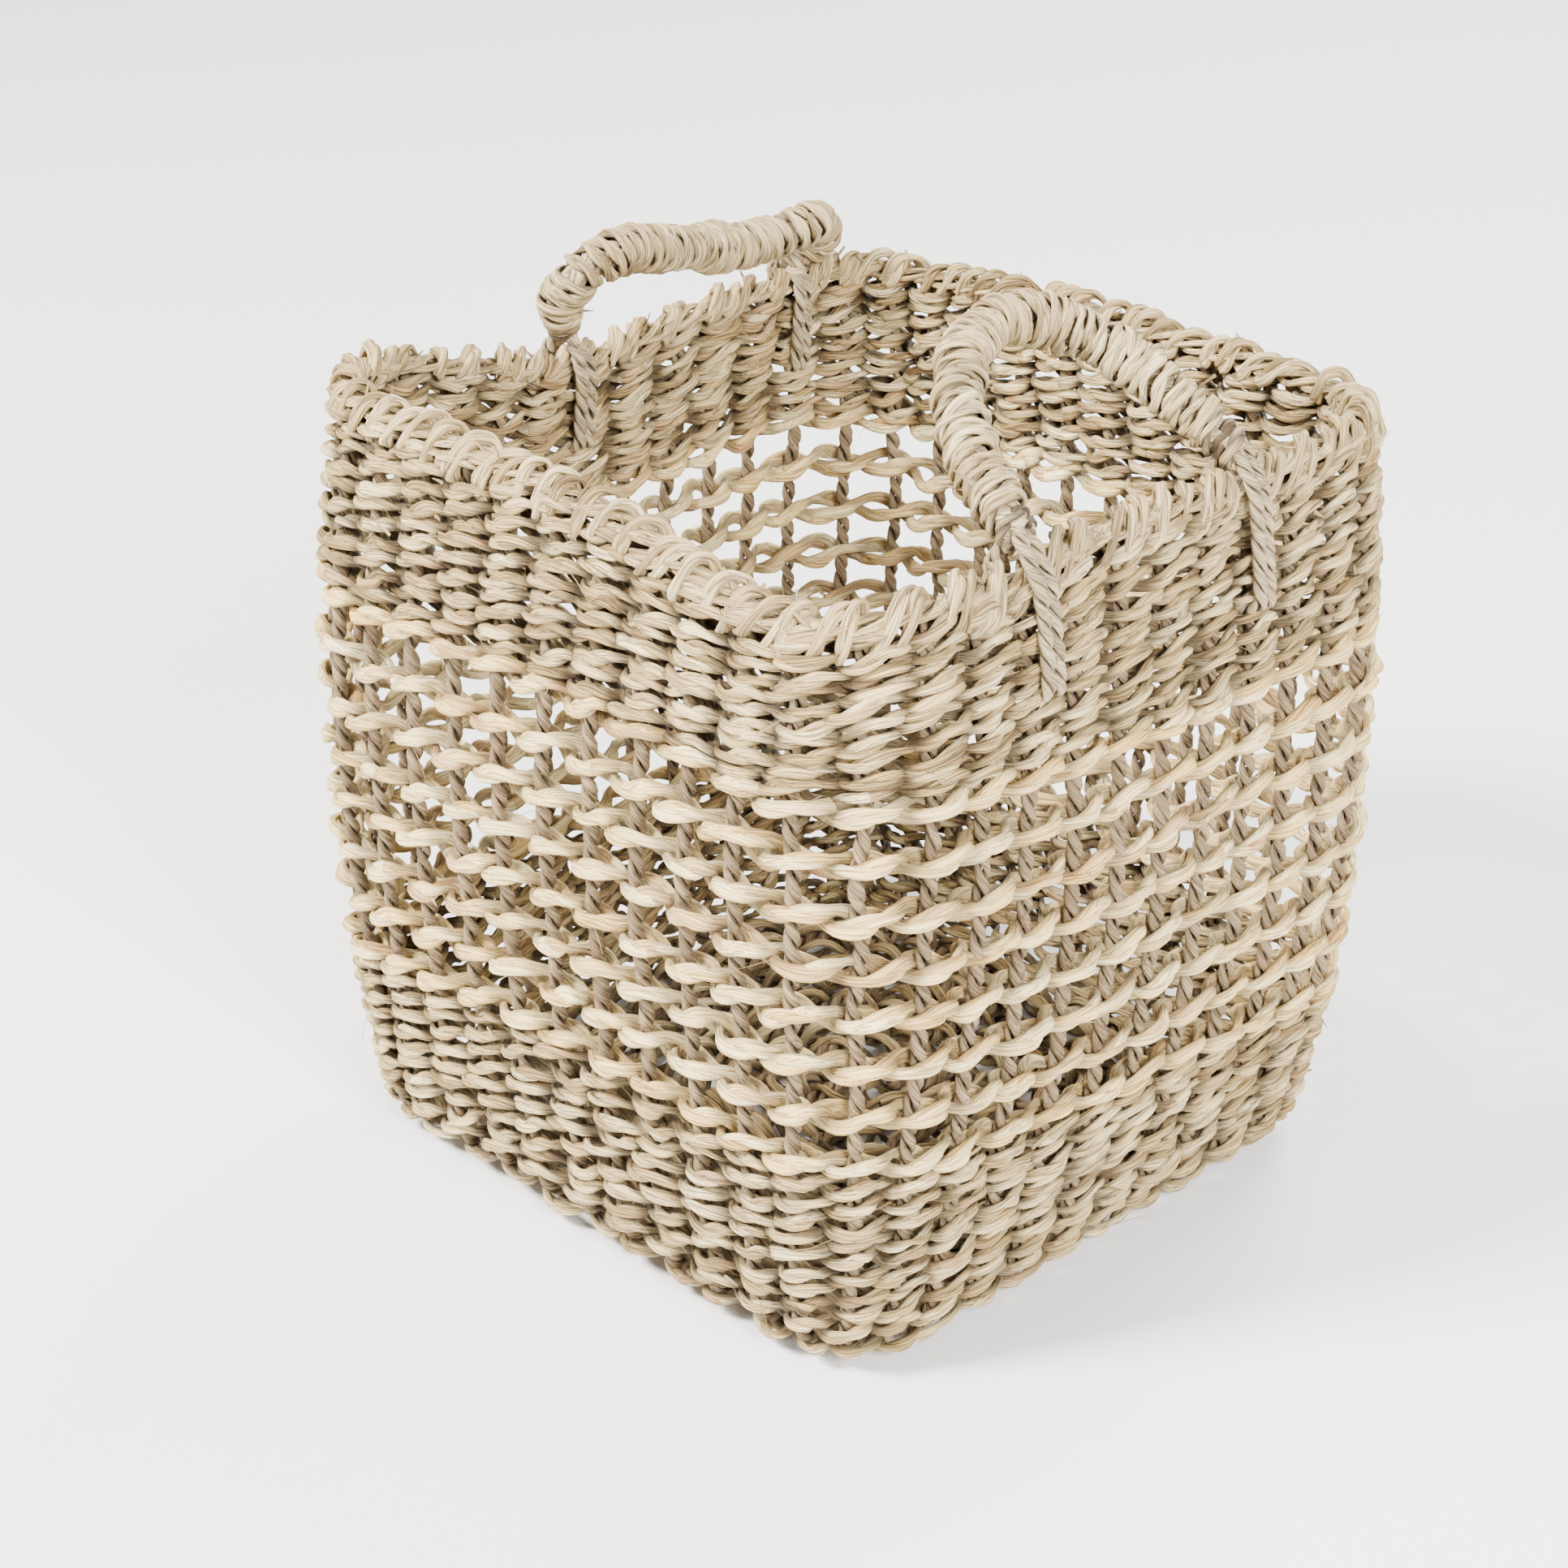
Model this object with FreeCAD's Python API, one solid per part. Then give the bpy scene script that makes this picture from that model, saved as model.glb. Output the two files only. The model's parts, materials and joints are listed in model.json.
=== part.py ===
"""Twined storage basket with two rope handles, in millimetres, +Z up.

The origin is the middle of the resting face. The plan is a rounded square: every round of
weaving follows the same square of corner centres, set out from it by its own distance, so the
straight sides stay 2 x CORNER_CENTRE long and the corners are quarter circles.
"""

import FreeCAD, Part
import math
import os

from FreeCAD import Vector

# Plan and wall form -----------------------------------------------------------------------
CORNER_CENTRE = 105.0      # half the side of the square through the four corner centres
BULGE_OFFSET = 53.5        # how far the stakes stand out from that square at their widest
BULGE_HEIGHT = 185.0       # height of the widest level
BULGE_RADIUS = 900.0       # the wall's long outward curve
BASE_TURN_RADIUS = 15.0    # the stakes' bend from the base up into the wall

# Stakes and strands -----------------------------------------------------------------------
STAKE_RADIUS = 2.5
STAKES_PER_SIDE = 9        # upright stakes on each straight side
STAKE_PITCH = 24.5
CORNER_STAKES = 3          # extra stakes let in round each corner
STRAND_THICK = 4.0         # radial size of a flattened twining strand
WORKING_GAP = 0.15         # clearance left between a strand and a stake
DENSE_WIDTH = 6.9
LIGHT_WIDTH = 7.6
BORDER_WIDTH = 7.4

# Rounds of weaving, spaced along the stakes ------------------------------------------------
BASE_ROUNDS = 10
BASE_ROUND_PITCH = 12.0
TURN_ROWS = 3              # lower rows that lie on the bend at the base
TURN_START = 1.0
TURN_PITCH = 10.2
LOWER_ROWS = 11
LIGHT_ROWS = 8
UPPER_ROWS = 9
DENSE_PITCH = 7.3
LIGHT_PITCH = 21.2
BAND_STEP = 7.9            # step from one band's last row to the next band's first row

# Braided edge that folds over the stake ends -----------------------------------------------
BRAID_WIDTH = 14.0
BRAID_HEIGHT = 4.6
BRAID_GAP = 0.2
BRAID_ROUNDING = 2.0

# Base cross warps ---------------------------------------------------------------------------
STEP_RUN = 16.0            # length over which an upper warp steps down to the lower layer

# Handles ------------------------------------------------------------------------------------
ROPE_RADIUS = 6.0          # core rope
WRAP_RADIUS = 9.75         # outside of the wrapping
WRAP_BORE = 6.15
KNOT_RADIUS = 8.8          # ball that ends the core rope at each foot
WRAP_START = 8.5           # the wrapping begins this far above a foot's centre
TIE_RADIUS = 2.0           # cord that ties a foot over the edge and through the wall
TIE_SPACING = 4.4          # between the two turns of cord at each foot
EDGE_GAP = 0.3             # clearance between a tie cord and the top of the edge
FACE_GAP = 1.3             # clearance between a tie cord and the faces of the wall
TIE_DEPTH = 44.0           # how far below the edge the tie cord passes through the wall
TIE_BEND = 5.0
FOOT_GAP = 0.45            # clearance between a foot's wrapping and its tie cord

# Each handle is an outline of (along the wall, out from the hinge line) points and the
# radii of the bends between its straight runs.
RIGHT_OUTLINE = [(-80.7, 0.0), (-67.0, 38.0), (-38.0, 74.0), (-2.0, 86.0), (28.0, 66.0), (42.0, 0.0)]
RIGHT_BENDS = [40.0, 40.0, 30.0, 30.0]
RIGHT_LEAN = 65.0          # degrees from upright, in over the basket
LEFT_OUTLINE = [(-8.0, 0.0), (-27.0, 55.0), (10.0, 58.0), (60.0, 34.0), (120.0, 37.0), (106.2, 0.0)]
LEFT_BENDS = [16.0, 40.0, 45.0, 14.0]
LEFT_LEAN = 42.0

# Worked out from the values above -------------------------------------------------------------
BASE_STAKE_HEIGHT = STRAND_THICK + WORKING_GAP + STAKE_RADIUS
LAYER_STEP = 2 * STAKE_RADIUS + WORKING_GAP
STRAND_OFFSET = STAKE_RADIUS + WORKING_GAP + STRAND_THICK / 2
TURN_CENTRE_HEIGHT = BASE_STAKE_HEIGHT + BASE_TURN_RADIUS
BULGE_CENTRE = BULGE_OFFSET - BULGE_RADIUS
TURN_LEAN = math.asin((BULGE_HEIGHT - TURN_CENTRE_HEIGHT) / (BULGE_RADIUS - BASE_TURN_RADIUS))
TURN_CENTRE = BULGE_CENTRE + (BULGE_RADIUS - BASE_TURN_RADIUS) * math.cos(TURN_LEAN)
TURN_LENGTH = BASE_TURN_RADIUS * (math.pi / 2 - TURN_LEAN)


def wall_point(along):
    """Offset, height and outward angle of the stakes' centre line, `along` mm up from the base."""
    if along < TURN_LENGTH:
        angle = along / BASE_TURN_RADIUS - math.pi / 2
        centre, height, radius = TURN_CENTRE, TURN_CENTRE_HEIGHT, BASE_TURN_RADIUS
    else:
        angle = (along - TURN_LENGTH) / BULGE_RADIUS - TURN_LEAN
        centre, height, radius = BULGE_CENTRE, BULGE_HEIGHT, BULGE_RADIUS
    return centre + radius * math.cos(angle), height + radius * math.sin(angle), angle


def row_positions():
    """Distances along the stakes of the lower, light, upper and border rounds."""
    lower = [TURN_START + i * TURN_PITCH for i in range(TURN_ROWS)]
    first = lower[-1] + BAND_STEP
    lower += [first + i * DENSE_PITCH for i in range(LOWER_ROWS - TURN_ROWS)]
    light = [lower[-1] + BAND_STEP + i * LIGHT_PITCH for i in range(LIGHT_ROWS)]
    upper = [light[-1] + BAND_STEP + i * DENSE_PITCH for i in range(UPPER_ROWS)]
    return lower, light, upper, upper[-1] + BAND_STEP


def ring_path(offset, height, corner=CORNER_CENTRE):
    """Closed rounded-square wire at `offset` outside the square of corner centres."""
    edges = []
    for quarter in range(4):
        turn = FreeCAD.Rotation(Vector(0, 0, 1), 90 * quarter)
        start = turn.multVec(Vector(corner + offset, -corner, height))
        end = turn.multVec(Vector(corner + offset, corner, height))
        diagonal = corner + offset * math.cos(math.pi / 4)
        middle = turn.multVec(Vector(diagonal, diagonal, height))
        after = turn.multVec(Vector(corner, corner + offset, height))
        edges.append(Part.LineSegment(start, end).toShape())
        edges.append(Part.Arc(end, middle, after).toShape())
    return Part.Wire(edges)


def swept(path, profile):
    """Solid that carries a closed profile wire along a smooth path."""
    return path.makePipeShell([profile], True, False)


def strand_ring(offset, height, angle, width, thick):
    """One flattened strand laid round the basket, tilted to lie along the wall."""
    centre = Vector(CORNER_CENTRE + offset, -CORNER_CENTRE, height)
    up_wall = Vector(-math.sin(angle), 0, math.cos(angle))
    out = Vector(math.cos(angle), 0, math.sin(angle))
    section = Part.Ellipse(centre + up_wall * width / 2, centre + out * thick / 2, centre)
    return swept(ring_path(offset, height), Part.Wire([section.toShape()]))


def twined_row(along, width, thick=STRAND_THICK):
    """A round of twining: one strand outside the stakes and one inside."""
    offset, height, angle = wall_point(along)
    strands = []
    for side in (1, -1):
        shift = side * (STAKE_RADIUS + WORKING_GAP + thick / 2)
        place = offset + shift * math.cos(angle), height + shift * math.sin(angle)
        strands.append(strand_ring(*place, angle, width, thick))
    return Part.makeCompound(strands)


def flat_ring(half_side, corner, bottom, width, tall, rounding):
    """A ring with flat faces and rounded edges, for the base rounds and the braided edge."""
    offset = half_side - corner
    low, high = half_side - width / 2, half_side + width / 2
    corners = [(low, bottom), (high, bottom), (high, bottom + tall), (low, bottom + tall)]
    outline = [Vector(x, -corner, z) for x, z in corners]
    edges = []
    for here, after in zip(outline, outline[1:] + outline[:1]):
        along = (after - here).normalize()
        edges.append((here + along * rounding, after - along * rounding))
    wires = []
    for i, (start, end) in enumerate(edges):
        wires.append(Part.LineSegment(start, end).toShape())
        following = edges[(i + 1) % len(edges)][0]
        bend = outline[(i + 1) % len(outline)]
        inward = ((end + following) * 0.5 - bend) * (2 - math.sqrt(2))
        wires.append(Part.Arc(end, bend + inward, following).toShape())
    return swept(ring_path(offset, bottom + tall / 2, corner), Part.Wire(wires))


def base_round(number):
    """A round of base twining: a flat strand under the warps and one over them."""
    half_side = number * BASE_ROUND_PITCH
    over = BASE_STAKE_HEIGHT + LAYER_STEP + STAKE_RADIUS + WORKING_GAP
    strands = [
        flat_ring(half_side, half_side / 2, level, DENSE_WIDTH, STRAND_THICK, STRAND_THICK / 4)
        for level in (0.0, over)
    ]
    return Part.makeCompound(strands)


def rounded_path(points, radii):
    """Straight runs through the points, joined by tangent arcs of the given radii."""
    edges = []
    start = points[0]
    for before, bend, after, radius in zip(points, points[1:], points[2:], radii):
        back = (before - bend).normalize()
        ahead = (after - bend).normalize()
        half_turn = (math.pi - back.getAngle(ahead)) / 2
        reach = radius * math.tan(half_turn)
        centre = bend + (back + ahead).normalize() * (radius / math.cos(half_turn))
        leave, join = bend + back * reach, bend + ahead * reach
        middle = centre + (bend - centre).normalize() * radius
        edges.append(Part.LineSegment(start, leave).toShape())
        edges.append(Part.Arc(leave, middle, join).toShape())
        start = join
    if (points[-1] - start).Length > WORKING_GAP:
        edges.append(Part.LineSegment(start, points[-1]).toShape())
    return Part.Wire(edges)


def round_bar(path, radius):
    """Solid bar of circular section along a path."""
    edge = path.OrderedEdges[0]
    direction = edge.tangentAt(edge.FirstParameter)
    section = Part.Circle(edge.valueAt(edge.FirstParameter), direction, radius)
    return swept(path, Part.Wire([section.toShape()]))


def upright_stake(top):
    """One stake from the base's edge up to `top`, in the XZ plane of a corner centre at x = 0."""
    turn_middle = wall_point(TURN_LENGTH / 2)
    turn_end = wall_point(TURN_LENGTH)
    wall_middle = wall_point((TURN_LENGTH + top) / 2)
    wall_end = wall_point(top)
    places = [wall_point(0.0), turn_middle, turn_end, wall_middle, wall_end]
    points = [Vector(offset, 0, height) for offset, height, _ in places]
    path = Part.Wire([Part.Arc(*points[0:3]).toShape(), Part.Arc(*points[2:5]).toShape()])
    return round_bar(path, STAKE_RADIUS)


def side_stakes(stake, quarter):
    """The upright stakes of one straight side; quarter 0 is the +X side, 1 the +Y side."""
    group = []
    for i in range(STAKES_PER_SIDE):
        across = (i - (STAKES_PER_SIDE - 1) / 2) * STAKE_PITCH
        copy = stake.copy()
        copy.translate(Vector(CORNER_CENTRE, across, 0))
        copy.rotate(Vector(0, 0, 0), Vector(0, 0, 1), 90 * quarter)
        group.append(copy)
    return Part.makeCompound(group)


def corner_stakes(stake):
    """The stakes let in round the four corners, evenly spaced along the wall."""
    offset = wall_point((TURN_LENGTH + row_positions()[3]) / 2)[0]
    straight = CORNER_CENTRE - (STAKES_PER_SIDE - 1) / 2 * STAKE_PITCH
    pitch = (2 * straight + offset * math.pi / 2) / (CORNER_STAKES + 1)
    group = []
    for quarter in range(4):
        for i in range(CORNER_STAKES):
            angle = math.degrees(((i + 1) * pitch - straight) / offset)
            copy = stake.copy()
            copy.rotate(Vector(0, 0, 0), Vector(0, 0, 1), angle)
            copy.translate(Vector(CORNER_CENTRE, CORNER_CENTRE, 0))
            copy.rotate(Vector(0, 0, 0), Vector(0, 0, 1), 90 * quarter)
            group.append(copy)
    return Part.makeCompound(group)


def lower_base_warps():
    """Straight warps that cross the base along X."""
    reach = CORNER_CENTRE + TURN_CENTRE
    group = []
    for i in range(STAKES_PER_SIDE):
        across = (i - (STAKES_PER_SIDE - 1) / 2) * STAKE_PITCH
        start = Vector(-reach, across, BASE_STAKE_HEIGHT)
        group.append(Part.makeCylinder(STAKE_RADIUS, 2 * reach, start, Vector(1, 0, 0)))
    return Part.makeCompound(group)


def upper_base_warps():
    """Warps that cross the base along Y, over the others, and step down at both ends."""
    reach = CORNER_CENTRE + TURN_CENTRE
    low, high = BASE_STAKE_HEIGHT, BASE_STAKE_HEIGHT + LAYER_STEP
    middle = (low + high) / 2
    step_in = reach - STEP_RUN
    turn = math.atan(LAYER_STEP / STEP_RUN)
    radius = (STEP_RUN**2 + LAYER_STEP**2) / (4 * LAYER_STEP)
    run, rise = radius * math.sin(turn), radius * (1 - math.cos(turn))
    outer = [(reach, low), (reach - run, low + rise), (reach - STEP_RUN / 2, middle)]
    half = outer + [(step_in + run, high - rise), (step_in, high)]
    points = [Vector(0, -y, z) for y, z in half] + [Vector(0, y, z) for y, z in reversed(half)]
    edges = [
        Part.Arc(*points[0:3]).toShape(),
        Part.Arc(*points[2:5]).toShape(),
        Part.LineSegment(points[4], points[5]).toShape(),
        Part.Arc(*points[5:8]).toShape(),
        Part.Arc(*points[7:10]).toShape(),
    ]
    warp = round_bar(Part.Wire(edges), STAKE_RADIUS)
    group = []
    for i in range(STAKES_PER_SIDE):
        copy = warp.copy()
        copy.translate(Vector((i - (STAKES_PER_SIDE - 1) / 2) * STAKE_PITCH, 0, 0))
        group.append(copy)
    return Part.makeCompound(group)


def hinge_line(edge_top, edge_offset):
    """Distance from the middle and height of the line that a handle swings about."""
    height = edge_top + EDGE_GAP + 2 * TIE_RADIUS + FOOT_GAP + WRAP_RADIUS
    return CORNER_CENTRE + edge_offset, height


def handle_pieces(outline, bends, lean, side, hinge):
    """Core rope with a knot at each foot, and the wrapping wound round it."""
    across, height = hinge
    tilt = math.radians(lean)

    def place(along, out):
        return Vector(side * (across - out * math.sin(tilt)), along, height + out * math.cos(tilt))

    points = [place(*point) for point in outline]
    core = round_bar(rounded_path(points, bends), ROPE_RADIUS)
    for foot, inside in ((points[0], points[1]), (points[-1], points[-2])):
        core = core.fuse(Part.makeSphere(KNOT_RADIUS, foot, inside - foot))
    points[0] += (points[1] - points[0]).normalize() * WRAP_START
    points[-1] += (points[-2] - points[-1]).normalize() * WRAP_START
    path = rounded_path(points, bends)
    wrap = round_bar(path, WRAP_RADIUS).cut(round_bar(path, WRAP_BORE))
    return core.removeSplitter(), wrap


def tie_cord(along, side, edge_top, lowest):
    """Two turns of cord over the edge, down both faces of the wall and through it."""
    reach = STRAND_OFFSET + STRAND_THICK / 2 + FACE_GAP + TIE_RADIUS
    over = edge_top + EDGE_GAP + TIE_RADIUS
    top_offset, low_offset = wall_point(lowest[1])[0], wall_point(lowest[0])[0]
    under = wall_point(lowest[0])[1]
    corners = [
        (top_offset + reach, over),
        (low_offset + reach, under),
        (low_offset - reach, under),
        (top_offset - reach, over),
    ]
    turns = []
    for across in (along - TIE_SPACING / 2, along + TIE_SPACING / 2):
        points = [Vector(side * (CORNER_CENTRE + offset), across, z) for offset, z in corners]
        start = (points[0] + points[-1]) * 0.5
        path = rounded_path([start] + points + [start], [TIE_BEND] * len(points))
        turns.append(round_bar(path, TIE_RADIUS))
    return Part.makeCompound(turns)


def build():
    """Every piece of the basket, by node name."""
    lower, light, upper, border = row_positions()
    nodes = {}
    for number in range(1, BASE_ROUNDS + 1):
        nodes[f"base_round_{number}"] = base_round(number)
    nodes["base_warps_lower"] = lower_base_warps()
    nodes["base_warps_upper"] = upper_base_warps()

    border_offset, border_height, border_angle = wall_point(border)
    stake = upright_stake(border + BORDER_WIDTH / 2 * math.cos(border_angle))
    for quarter, name in enumerate(("right", "back", "left", "front")):
        nodes[f"stakes_{name}"] = side_stakes(stake, quarter)
    nodes["stakes_corner"] = corner_stakes(stake)

    for number, along in enumerate(lower, 1):
        nodes[f"lower_row_{number:02d}"] = twined_row(along, DENSE_WIDTH)
    for number, along in enumerate(light, 1):
        nodes[f"light_row_{number}"] = twined_row(along, LIGHT_WIDTH)
    for number, along in enumerate(upper, 1):
        nodes[f"upper_row_{number:02d}"] = twined_row(along, DENSE_WIDTH)
    nodes["border_row"] = twined_row(border, BORDER_WIDTH)

    braid_bottom = stake.BoundBox.ZMax + BRAID_GAP
    braid_half_side = CORNER_CENTRE + border_offset
    nodes["edge_braid"] = flat_ring(
        braid_half_side, CORNER_CENTRE, braid_bottom, BRAID_WIDTH, BRAID_HEIGHT, BRAID_ROUNDING
    )

    edge_top = braid_bottom + BRAID_HEIGHT
    hinge = hinge_line(edge_top, border_offset)
    tie_span = border - TIE_DEPTH, border
    handles = {
        "right": (RIGHT_OUTLINE, RIGHT_BENDS, RIGHT_LEAN, 1),
        "left": (LEFT_OUTLINE, LEFT_BENDS, LEFT_LEAN, -1),
    }
    for name, (outline, bends, lean, side) in handles.items():
        core, wrap = handle_pieces(outline, bends, lean, side, hinge)
        nodes[f"handle_rope_{name}"] = core
        nodes[f"handle_wrap_{name}"] = wrap
        for where, foot in (("front", outline[0]), ("rear", outline[-1])):
            nodes[f"tie_cord_{name}_{where}"] = tie_cord(foot[0], side, edge_top, tie_span)
    print("hinge lines at x = +/-%.2f, z = %.2f" % hinge)
    return nodes


def main():
    os.makedirs("parts", exist_ok=True)
    for name, shape in build().items():
        shape.exportStep(f"parts/{name}.step")


main()
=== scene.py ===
"""Studio scene of a twined seagrass storage basket with two wrapped rope handles.

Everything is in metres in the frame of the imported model. Each part of the basket is a class that
carries its sizes, builds its meshes strand by strand and dresses them in one of the finishes.
"""

import json
import logging
import math
from dataclasses import dataclass, field
from enum import Enum
from typing import Callable, Sequence

import bpy
import numpy as np
from mathutils import Matrix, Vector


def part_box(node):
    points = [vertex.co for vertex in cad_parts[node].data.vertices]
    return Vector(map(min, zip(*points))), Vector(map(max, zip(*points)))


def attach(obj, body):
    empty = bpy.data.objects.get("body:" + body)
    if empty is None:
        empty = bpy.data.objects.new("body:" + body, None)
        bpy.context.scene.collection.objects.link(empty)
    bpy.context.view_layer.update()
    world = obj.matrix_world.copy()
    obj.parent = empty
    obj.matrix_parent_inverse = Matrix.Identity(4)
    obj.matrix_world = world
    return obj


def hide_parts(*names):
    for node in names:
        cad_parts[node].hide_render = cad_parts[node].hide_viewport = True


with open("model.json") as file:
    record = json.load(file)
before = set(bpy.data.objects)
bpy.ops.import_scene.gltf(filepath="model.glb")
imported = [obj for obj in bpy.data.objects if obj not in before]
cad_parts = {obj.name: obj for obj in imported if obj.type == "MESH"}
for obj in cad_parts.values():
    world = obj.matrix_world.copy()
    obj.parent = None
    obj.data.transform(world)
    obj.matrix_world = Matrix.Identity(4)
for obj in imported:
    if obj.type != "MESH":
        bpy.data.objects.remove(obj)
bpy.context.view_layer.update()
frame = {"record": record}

log = logging.getLogger("basket")

STAKES_ROUND = 48          # upright stakes all the way round
SIDE_UNITS = 12            # stake pitches from one side's middle to the next side's
BASKET = "basket"
SIDE_HALF = 4              # stakes on each side of a side's middle one
ARC_POINTS = 13            # points along each arc of a rounded line
UPWARD = np.array([0.0, 0.0, 1.0])
ORIGIN_ROW = (0, 0, 0, 1)


class Slot(Enum):
    """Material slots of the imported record."""

    SEAGRASS = "seagrass"
    LIGHT_LEAF = "light_leaf"
    STAKE_CORD = "stake_cord"
    EDGE_BRAID = "edge_braid"
    HANDLE_WRAP = "handle_wrap"
    HANDLE_CORE = "handle_core"
    TIE_CORD = "tie_cord"


# Small numeric helpers ---------------------------------------------------------------------------


def unit(vectors: np.ndarray) -> np.ndarray:
    """Returns the vectors scaled to length one."""
    return vectors / np.maximum(np.linalg.norm(vectors, axis=-1, keepdims=True), 1e-12)


def settled_on_floor(points: np.ndarray, soft: float = 0.0016) -> np.ndarray:
    """Returns the points with those near or under the floor pressed smoothly up onto it."""
    settled = points.copy()
    height = points[:, 2]
    settled[:, 2] = np.where(height < soft, soft * np.exp(np.minimum(height - soft, 0) / soft), height)
    return settled


def wander(rng: np.random.Generator, count: int, knots: int, size: float) -> np.ndarray:
    """Smooth random values that drift up and down.

    Args:
        rng: Source of the random values.
        count: How many values to return.
        knots: How many independent values lie between the ends.
        size: Spread of the values.

    Returns:
        An array of `count` values, the same at both ends.
    """
    knots = max(int(knots), 3)
    values = rng.normal(0.0, size, knots + 1)
    values[-1] = values[0]
    place = np.linspace(0.0, knots, count)
    low = np.minimum(place.astype(int), knots - 1)
    share = place - low
    share = share * share * (3 - 2 * share)
    return values[low] * (1 - share) + values[low + 1] * share


def smooth_step(values: np.ndarray) -> np.ndarray:
    """Eases values from 0 to 1 with flat ends."""
    clipped = np.clip(values, 0.0, 1.0)
    return clipped * clipped * (3 - 2 * clipped)


def rounded_line(points: Sequence[Sequence[float]], bends: Sequence[float], step: float) -> np.ndarray:
    """Evenly spaced points along straight runs joined by tangent arcs.

    Args:
        points: Corner points of the line, in two or three dimensions.
        bends: Radius of the arc at each inner corner.
        step: Distance between the returned points.

    Returns:
        An array with one row per point.
    """
    corners = np.array(points, float)
    path = [corners[0]]
    for before, bend, after, radius in zip(corners, corners[1:], corners[2:], bends):
        back, ahead = unit(before - bend), unit(after - bend)
        half = (math.pi - math.acos(float(np.clip(back @ ahead, -1, 1)))) / 2
        centre = bend + unit(back + ahead) * (radius / math.cos(half))
        leave = bend + back * radius * math.tan(half)
        join = bend + ahead * radius * math.tan(half)
        for share in np.linspace(0, 1, ARC_POINTS):
            chord = leave * (1 - share) + join * share
            path.append(centre + unit(chord - centre) * radius)
    path.append(corners[-1])
    rough = np.array(path)
    lengths = travelled(rough)
    count = max(int(lengths[-1] / step), 2) + 1
    places = np.linspace(0, lengths[-1], count)
    return np.stack([np.interp(places, lengths, column) for column in rough.T], axis=1)


def strand_axes(points: np.ndarray, normal: np.ndarray) -> tuple[np.ndarray, np.ndarray]:
    """Directions across a strand and off its face.

    Args:
        points: Points along the strand.
        normal: Rough direction off its face at each point.

    Returns:
        The two directions at each point, square to the strand and to each other.
    """
    tangent = unit(np.gradient(points, axis=0))
    across = unit(np.cross(normal, tangent))
    return across, np.cross(tangent, across)


def spun(first: np.ndarray, second: np.ndarray, turn: np.ndarray) -> np.ndarray:
    """Returns the direction turned from the first towards the second at each point."""
    return first * np.cos(turn)[:, None] + second * np.sin(turn)[:, None]


def moved(points: np.ndarray, *shifts: tuple[np.ndarray, np.ndarray]) -> np.ndarray:
    """Returns points moved by a distance along a direction, once for each pair of the two."""
    for direction, distance in shifts:
        points = points + direction * distance[:, None]
    return points


def uneven(
    size: float | np.ndarray, rng: np.random.Generator, count: int, knots: int, spread: float
) -> np.ndarray:
    """Returns a size that drifts by a share of itself along a strand."""
    return size * (1 + wander(rng, count, knots, spread))


def new_piece(name: str, data: bpy.types.ID) -> bpy.types.Object:
    """Makes an object of some data and puts it in the scene."""
    piece = bpy.data.objects.new(name, data)
    bpy.context.scene.collection.objects.link(piece)
    return piece


def stand(piece: bpy.types.Object, axes: Sequence[np.ndarray], place: Sequence[float]) -> None:
    """Turns an object so that its three axes lie as given, and puts it in its place."""
    rows = np.stack(axes, axis=1)
    piece.matrix_world = Matrix([(*row, 0.0) for row in rows] + [ORIGIN_ROW])
    piece.location = place


def travelled(points: np.ndarray) -> np.ndarray:
    """Returns the distance along a line of points up to each of them."""
    return np.concatenate([[0.0], np.cumsum(np.linalg.norm(np.diff(points, axis=0), axis=1))])


def carried_normals(points: np.ndarray, first: np.ndarray) -> np.ndarray:
    """Carries a sideways direction along a line of points without twisting it."""
    tangents = unit(np.gradient(points, axis=0))
    normals = np.empty_like(points)
    current = first
    for i, tangent in enumerate(tangents):
        current = current - tangent * float(current @ tangent)
        current = current / max(float(np.linalg.norm(current)), 1e-9)
        normals[i] = current
    return normals


# Meshes ------------------------------------------------------------------------------------------


@dataclass(frozen=True)
class PaintedGapShade:
    """Painted shade in the gaps between strands, set by distances from a line or a surface."""

    base: np.ndarray           # points of the line, or of the surface
    shut: float                # distance at which the painted shade is at its darkest
    clear: float               # distance from which a strand has no painted shade
    normal: np.ndarray | None = None   # directions off the surface; none for a line

    def clear_of_painted_shade(self, rings: np.ndarray) -> np.ndarray:
        """Returns how far each point of the rings lies out of the painted shade, between 0 and 1."""
        away = rings - self.base[:, None, :]
        if self.normal is None:
            distance = np.linalg.norm(away, axis=2)
        else:
            distance = np.abs(np.sum(away * self.normal[:, None, :], axis=2))
        return smooth_step((distance - self.shut) / (self.clear - self.shut))


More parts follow.
